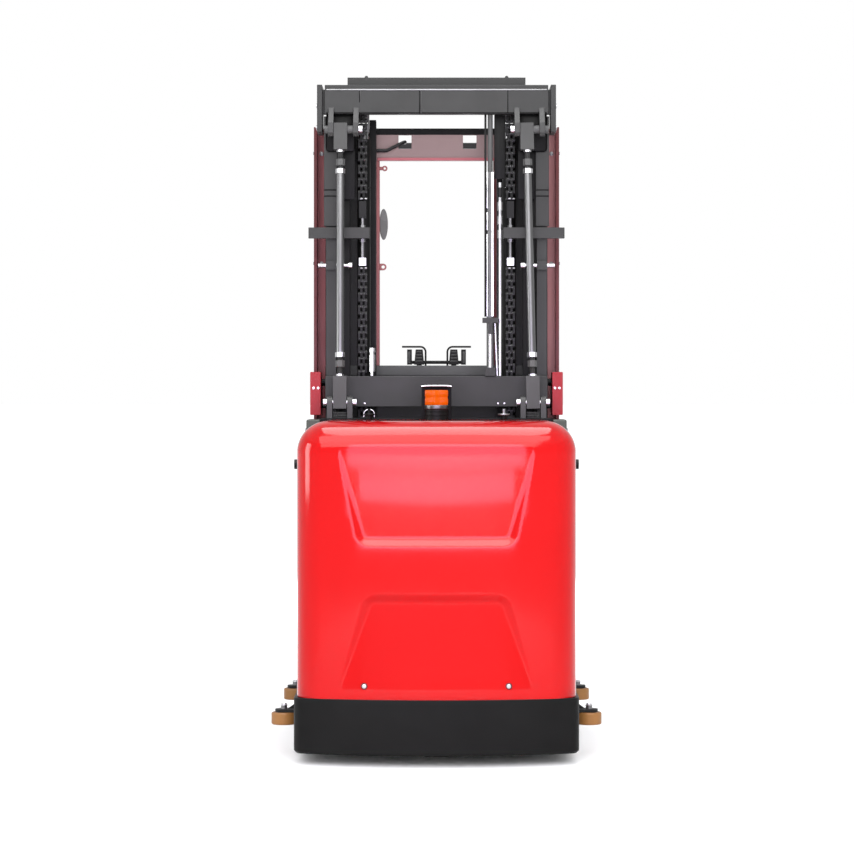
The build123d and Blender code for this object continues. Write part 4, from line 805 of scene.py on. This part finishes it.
def make_mast_details():
    """Screws, painted shade in the stiffeners' grooves, painted highlights on the guide tube's edges, and the
    wire bail.
    """
    mesh = bmesh.new()
    for x, y, z, axis, radius, height, sides in CHASSIS_SCREWS:
        for side in sides:
            screw(mesh, at(side * x, y, z), axis, radius, height)
    for side in SIDES:
        for y in (1070, 1140):
            for z in (2385, 2470):
                screw(mesh, at(side * TOP_BEAM_SIDE, y, z), RIGHT * side, 8, 7)
    piece("mast_screws", mesh, ["zinc_white"], "chassis")
    # Black strips across the stiffeners: painted shade in their grooves
    bar_piece("stiffener_groove_shade", "mast_black", "chassis", twins=[
        ((388, 1026.5, z - 3), (440, 1030, z + 3), 0.8) for z in GROOVE_SHADE_HEIGHTS
    ])
    # Light strips on the grey guide tube: painted highlights along its edges
    strips = [((196, 1004.5, low), (201, 1014, high), 1) for low, high in HIGHLIGHT_LENGTHS]
    strips.append(((214, 1004.5, TUBE_FOOT), (223.5, 1014, TUBE_TOP), 1))
    bar_piece("guide_tube_highlights", "zinc_white", "chassis", strips)
    x, y, z = BAIL_MIDDLE
    turns = [math.pi * step / BAIL_POINTS for step in range(BAIL_POINTS + 1)]
    bail = [at(x + BAIL_HALF * math.cos(turn), y, z + BAIL_RISE * math.sin(turn)) for turn in turns]
    leg = UP * BAIL_LEG / METRE
    mesh = bmesh.new()
    tube(mesh, [bail[0] - leg] + bail + [bail[-1] - leg], 2.0, 12)
    piece("hood_bail", mesh, ["zinc_white"], "chassis")


def make_mast_fillers():
    """Sleeves over the lift rods, gussets under the top beam, a sleeve on the guide rod, weld lines, and a
    painted highlight and painted shade on the top beam's edges.
    """
    mesh = bmesh.new()
    for side in SIDES:
        turned(mesh, rounded(26, 190, 3, 21), at(side * 286, 1120, 2151), UP, 32)
    twin_bars(mesh, (319, 1042, 2100), (391, 1054, BELOW_BEAM - 1), 2)
    twin_bars(mesh, (318, 1013, 2284), (432, 1027.5, BELOW_BEAM), 12)
    bar(mesh, (187, 1014, TUBE_FOOT), (195.5, 1028, BELOW_BEAM), 1.5)
    bar(mesh, (226, 1036, 2180), (268, 1050, BELOW_BEAM), 2)
    piece("mast_gussets", mesh, ["mast_black"], "chassis")
    mesh = bmesh.new()
    turned(mesh, rounded(10, 224, 2, 6.5), at(210, 1020, TUBE_TOP + 1.5), UP, 24)
    piece("guide_rod_sleeve", mesh, ["wall_grey"], "chassis")
    # Lines on the rear of the top beam: left and right end, bottom, top, how far they stand out, rounding
    lines = (
        ("beam_welds", "ear_grey", (
            (-62, -58, TOP_BEAM_BOTTOM, TOP_BEAM_EDGE, 2.6, 1),
            (-298, -294.5, 2475, TOP_BEAM_EDGE, 2.6, 1),
        )),
        # A light strip along the beam's top edge: painted highlight
        ("beam_edge_highlight", "zinc_grey", (
            (-430, 430, TOP_BEAM_EDGE - 3, TOP_BEAM_EDGE + 1.5, 3.5, 1),
        )),
        ("beam_seams_and_shade", "mast_black", (
            (-68, -62.5, TOP_BEAM_BOTTOM, TOP_BEAM_EDGE, 2.2, 0.6),
            (276, 280, TOP_BEAM_BOTTOM, TOP_BEAM_EDGE, 2.2, 0.6),
            (-302, -298.5, 2475, TOP_BEAM_EDGE, 2.2, 0.6),
            # A black strip along the beam's bottom edge: painted shade under the beam
            (-430, 430, TOP_BEAM_BOTTOM - 1, TOP_BEAM_BOTTOM + 5, 2.2, 1),
        )),
    )
    for name, material, rows in lines:
        bar_piece(name, material, "chassis", [
            ((left, TOP_BEAM_REAR - out, low), (right, TOP_BEAM_REAR, high), edge)
            for left, right, low, high, out, edge in rows
        ])


# Trim of the side covers and the tower

COVER_SIDE = span("side_covers")[1][0]
LOUVRES, LOUVRE_FOOT, LOUVRE_PITCH, LOUVRE_HEIGHT = 9, 640, 34, 14
SPACERS, SPACER_FOOT, SPACER_PITCH, SPACER_HEIGHT = 4, 1247, 6, 3


def make_cover_details():
    """Louvres and screws of the side covers, and thin spacers between the tower's ears."""
    mesh = bmesh.new()
    for row in range(LOUVRES):
        z = LOUVRE_FOOT + row * LOUVRE_PITCH
        twin_bars(mesh, (497.5, 835, z), (501.5, 995, z + LOUVRE_HEIGHT), 1.5)
    for side in SIDES:
        for y in (805, 1025):
            for z in (280, 740, 1200):
                screw(mesh, at(side * COVER_SIDE, y, z), RIGHT * side, 6, 5, 1)
    piece("cover_louvres", mesh, ["mast_black", "zinc_grey"], "chassis")
    feet = [SPACER_FOOT + row * SPACER_PITCH for row in range(SPACERS)]
    bar_piece("ear_spacers", "ear_grey", "chassis", twins=[
        ((347, 860, z), (399, 884, z + SPACER_HEIGHT), 0.8) for z in feet
    ])


# Cab

# The header is black above the given height: a band of painted shade under the roof
HEADER_BAY, HEADER_SHADE_FOOT, WALL_CAP = 240, 2374, 1415


def post_part(x, y, z):
    """The posts' folded edges are painted dark as shade; the left post is painted in shade."""
    if abs(x) > 475.5:
        return 1
    return 0 if x > 0 else 2


def header_part(x, y, z):
    """The header shows its paint between the uprights only, below a black band painted as shade under the
    roof; its lip is brighter.
    """
    if y < 1299.5:
        return 1
    return 0 if abs(x) < HEADER_BAY and z < HEADER_SHADE_FOOT else 2


def inner_post_part(x, y, z):
    """The right inner post is painted dark as shade."""
    return 1 if x > 0 else 0


def wall_part(x, y, z):
    """The rear wall's upper edge is lighter."""
    return 1 if z > WALL_CAP else 0


def dress_cab():
    # Node, finishes, rounding, rule, cuts
    rows = (
        ("cab_floor", ["grey_steel"], 3),
        ("cab_rear_wall", ["grey_steel", "wall_grey"], 3, wall_part, [("z", WALL_CAP)]),
        ("cab_rear_panels", ["grey_steel"], 1),
        ("cab_rear_posts", ["post_paint", "post_edge", "post_shade"], 2.5, post_part),
        ("cab_inner_posts", ["post_pink", "post_edge"], 2, inner_post_part),
        ("cab_header", ["header_paint", "lip_paint", "mast_black"], 2.5, header_part,
         [("x", HEADER_BAY), ("x", -HEADER_BAY), ("z", HEADER_SHADE_FOOT)]),
        ("header_hose", ["hose_rubber"], 0),
        ("overhead_guard", ["black_steel"], 3),
        ("cab_front_posts", ["black_steel"], 4),
        ("console", ["grey_steel"], 8),
        ("control_handles", ["black_control"], 3),
        ("mirror", ["mirror_glass"], 3),
        ("cab_lugs", ["post_pink"], 1.5),
        ("cab_carriage", ["mast_black"], 2),
        ("fork_carriage", ["black_steel"], 3),
        ("forks", ["black_steel"], 4),
        ("gate_right", ["grey_steel"], 1),
        ("gate_left", ["grey_steel"], 1),
    )
    for row in rows:
        dress(*row)


MAT_SHEET, MAT_EDGE = 5.5, 1.5
RIB_SINK, RIB_SPACING, RIB_HALF, RIB_MARGIN = 1.5, 20, 5, 12
POST_SCREW_HEIGHTS = (420, 900, 1380, 1860, 2300)
CARRIAGE_FRONT = span("fork_carriage")[1][1]
FORK_TOP = span("forks")[1][2]
WALL_REAR = span("cab_rear_wall")[0][1]
# Ribs of the grips: first height, spacing, thickness, and how much each is narrower than the one below
GRIP_RIBS, GRIP_FOOT, GRIP_SPACING, GRIP_RIB, GRIP_TAPER = 4, 1474, 13, 6, 2


def make_mat():
    """A thin sheet with ribs across it."""
    low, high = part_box("floor_mat")
    x, base, top = high.x * METRE, low.z * METRE, high.z * METRE
    start, end = (low.y - REAR) * METRE, (high.y - REAR) * METRE
    mesh = bmesh.new()
    bar(mesh, (-x, start, base), (x, end, base + MAT_SHEET), MAT_EDGE)
    count = int((end - start) / RIB_SPACING)
    for rib in range(count):
        y = start + RIB_SPACING / 2 + rib * (end - start - RIB_SPACING) / (count - 1)
        foot = (-x + RIB_MARGIN, y - RIB_HALF, base + MAT_SHEET - RIB_SINK)
        bar(mesh, foot, (x - RIB_MARGIN, y + RIB_HALF, top), MAT_EDGE)
    piece("mat_ribs", mesh, ["rubber_mat"], "cab", ("floor_mat",))


def make_cab_details():
    """Screws, the small lug beside the header and the ribs of the grips."""
    mesh = bmesh.new()
    for side in SIDES:
        for z in POST_SCREW_HEIGHTS:
            screw(mesh, at(side * 460, 1318, z), BACK, 6, 5)
            screw(mesh, at(side * 488, WALL_REAR, z), RIGHT * side, 6, 5)
        for z in (150, 590):
            for x in (60, 380):
                screw(mesh, at(side * x, CARRIAGE_FRONT, z), FORWARD, 9, 8)
        screw(mesh, at(side * 240, 2094, FORK_TOP), UP, 9, 12)
        for x in (300, 400):
            screw(mesh, at(side * x, WALL_REAR, 2335), BACK, 6, 5)
    piece("cab_screws", mesh, ["zinc_grey"], "cab")
    mesh = bmesh.new()
    turned(mesh, rounded(11, 12, 1.5, 4.5), at(-207, 1312, 2240), BACK, 24)
    bar(mesh, (-228, 1300.5, 2233), (-214, 1311.5, 2247), 1)
    piece("upper_lug", mesh, ["post_pink"], "cab")
    # The grips' ribs are lighter grey than the grips: real ribs, painted lighter as highlights
    ribs = [((110, 1957, 1468), (121, 1962, 1518), 2)]
    for step in range(GRIP_RIBS):
        z = GRIP_FOOT + step * GRIP_SPACING
        inset = step * GRIP_TAPER
        ribs.append(((57 + inset, 1956, z), (91 - inset, 1962, z + GRIP_RIB), 2))
    bar_piece("grip_ribs", "wall_grey", "cab", twins=ribs)


# Console and back pad

CONSOLE_TOP = span("console")[1][2]
CONSOLE_NOSE = (0, 1900, 1320)
CONSOLE_LEAN = math.atan2(60, 120)
SWITCH_X, SWITCH_Y = 210, 1995
PANEL_HEIGHTS, PANEL_HALF, PANEL_MARGIN = ((690, 1030), (1050, 1400)), 262, 18
PANEL_REAR, PANEL_FRONT = 2059, 2063
PADS, PAD_FOOT, PAD_PITCH, PAD_HEIGHT = 3, 880, 172, 168


def make_console_details():
    """Blank display, buttons, stop button and key on the console, its panels and the pad on the rear wall."""
    # Built upright on the nose's plane, then leant on to the sloped face
    mesh = bmesh.new()
    bar(mesh, (-95, 1895, 1332), (95, 1901, 1440), 2)
    bar(mesh, (-78, 1894.2, 1346), (78, 1896, 1426), 0.6, 1)
    twin_bars(mesh, (130, 1896, 1340), (250, 1901, 1432), 2)
    for side in SIDES:
        for row in range(2):
            for column in range(3):
                place = at(side * (155 + 35 * column), 1896.5, 1366 + 38 * row)
                turned(mesh, rounded(10, 3, 1), place, BACK, 20, 2 + (row + column) % 2)
    slope = Matrix.Rotation(-CONSOLE_LEAN, 3, "X")
    bmesh.ops.rotate(mesh, cent=at(*CONSOLE_NOSE), matrix=slope, verts=mesh.verts)
    piece("console_display", mesh, ["black_moulding", "mirror_glass", "wall_grey", "zinc_grey"], "cab")
    bar_piece("knee_panel", "black_moulding", "cab", [((-270, 1956, 420), (270, 1961, 1180), 2)])
    mesh = bmesh.new()
    # The stop button on the left and the key on the right: radius, length, edge, lift, steps, finish
    for x, radius, length, edge, lift, steps, finish in (
        (-SWITCH_X, 24, 4, 1, 0, 32, 0),
        (-SWITCH_X, 19, 9, 3, 4, 32, 1),
        (SWITCH_X, 14, 6, 1.5, 0, 32, 0),
        (SWITCH_X, 5, 11, 1.5, 3, 20, 2),
    ):
        place = at(x, SWITCH_Y, CONSOLE_TOP + lift)
        turned(mesh, rounded(radius, length, edge), place, UP, steps, finish)
    piece("console_switches", mesh, ["black_moulding", "red_steel", "zinc_grey"], "cab")
    mesh = bmesh.new()
    for low, high in PANEL_HEIGHTS:
        bar(mesh, (-PANEL_HALF, PANEL_REAR, low), (PANEL_HALF, PANEL_FRONT, high), 1.8)
        for side in SIDES:
            for z in (low + PANEL_MARGIN, high - PANEL_MARGIN):
                place = at(side * (PANEL_HALF - PANEL_MARGIN), PANEL_FRONT, z)
                screw(mesh, place, FORWARD, 6, 4, 1)
    piece("console_panels", mesh, ["grey_steel", "zinc_grey"], "cab")
    feet = [PAD_FOOT + row * PAD_PITCH for row in range(PADS)]
    bar_piece("back_pad", "rubber_mat", "cab", [
        ((-270, 1329, z), (270, 1342, z + PAD_HEIGHT), 6) for z in feet
    ])


# Studio and camera, in metres

FLOOR_HALF = 400
HOOD_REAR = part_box("hood")[0].y
LIGHT_AIM = Vector((0, HOOD_REAR, 1.2))
# Softboxes round the hood: name, elevation, side shift, distance, size, radiance
SOFTBOXES = (
    ("overhead", 90, 0, 3.4, (3.4, 2.5), 11.5),
    ("upper_back", 55, -0.5, 4.0, (5.8, 2.1), 6.3),
    ("back", 31, -0.5, 5.0, (6.8, 1.6), 5.4),
)
# Cards mirrored in the hood's upper recess: name, height of the middle, size
CARDS = (("low_card", 0.79, (1.38, 0.12)), ("high_card", 1.33, (1.60, 0.94)))
CARD_DISTANCE, CARD_RADIANCE, CARD_TINT = 1.0, 7.0, (0.92, 0.79, 1.12)
# A box mirrored in the hood's left corner, and the fills: name, place, aim, size, radiance, whether a fill
OTHER_LIGHTS = (
    ("left_box", (-4.0, -1.75, 1.76), (0, -1.75, 1.76), (1.2, 1.8), 12.0, False),
    ("back_fill", (0, -9, 2.4), (0, -1, 1.2), (6, 4), 12.0, True),
    ("front_fill", (0, 9, 3.4), (0, 1, 1.2), (6, 4), 8.0, True),
)
CEILING_ENERGY, CEILING_ANGLE = 0.9, 120


def add_camera():
    """A level camera straight behind the machine."""
    data = bpy.data.cameras.new("camera")
    data.sensor_width = SENSOR_WIDTH
    data.lens = FOCAL_PIXELS / IMAGE_WIDTH * SENSOR_WIDTH
    data.shift_x = (IMAGE_MIDDLE[0] - MIDDLE_COLUMN) / IMAGE_WIDTH
    data.shift_y = (HORIZON_ROW - IMAGE_MIDDLE[1]) / IMAGE_WIDTH
    data.clip_end = CAMERA_REACH
    camera = bpy.data.objects.new("camera", data)
    camera.location = (0, HOOD_REAR - CAMERA_DISTANCE, CAMERA_HEIGHT)
    camera.rotation_euler = (math.radians(90), 0, 0)
    bpy.context.scene.collection.objects.link(camera)
    bpy.context.scene.camera = camera


def add_light(name, place, aim, size, radiance, fill=False, tint=(1, 1, 1)):
    """A soft rectangular studio light, out of the camera's sight: a fill light, or a card to be mirrored."""
    data = bpy.data.lights.new(name, "AREA")
    data.shape = "RECTANGLE"
    data.size, data.size_y = size
    data.energy = radiance * math.pi * size[0] * size[1]
    data.color = tint
    light = bpy.data.objects.new(name, data)
    light.location = place
    light.rotation_euler = (Vector(aim) - Vector(place)).to_track_quat("-Z", "Y").to_euler()
    light.visible_camera = False
    light.visible_diffuse = fill
    light.visible_glossy = not fill
    bpy.context.scene.collection.objects.link(light)


def add_floor():
    """A pale floor that reaches past the picture."""
    mesh = bmesh.new()
    bmesh.ops.create_grid(mesh, x_segments=1, y_segments=1, size=FLOOR_HALF)
    data = bpy.data.meshes.new("studio_floor")
    mesh.to_mesh(data)
    mesh.free()
    data.materials.append(MATERIALS["floor_white"])
    floor = bpy.data.objects.new("studio_floor", data)
    bpy.context.scene.collection.objects.link(floor)


def add_lights():
    """White surroundings, softboxes, cards, fills and a soft light from above."""
    world = bpy.data.worlds.new("studio")
    world.use_nodes = True
    background = world.node_tree.nodes["Background"]
    background.inputs["Color"].default_value = (1, 1, 1, 1)
    background.inputs["Strength"].default_value = 1.0
    bpy.context.scene.world = world
    for name, elevation, shift, distance, size, radiance in SOFTBOXES:
        angle = math.radians(elevation)
        target = LIGHT_AIM + RIGHT * shift
        place = target + (BACK * math.cos(angle) + UP * math.sin(angle)) * distance
        add_light(name, place, target, size, radiance)
    for name, z, size in CARDS:
        place = Vector((0, HOOD_REAR - CARD_DISTANCE, z))
        add_light(name, place, place + FORWARD, size, CARD_RADIANCE, tint=CARD_TINT)
    for row in OTHER_LIGHTS:
        add_light(*row)
    data = bpy.data.lights.new("ceiling", "SUN")
    data.energy = CEILING_ENERGY
    data.angle = math.radians(CEILING_ANGLE)
    ceiling = bpy.data.objects.new("ceiling", data)
    bpy.context.scene.collection.objects.link(ceiling)
    bpy.context.scene.view_settings.view_transform = "Standard"


make_hood()
make_chains()
make_rollers()
make_wheels()
make_beacon()
make_stays()
dress_chassis()
make_mast_details()
make_mast_fillers()
make_cover_details()
dress_cab()
make_mat()
make_cab_details()
make_console_details()
add_floor()
add_lights()
add_camera()
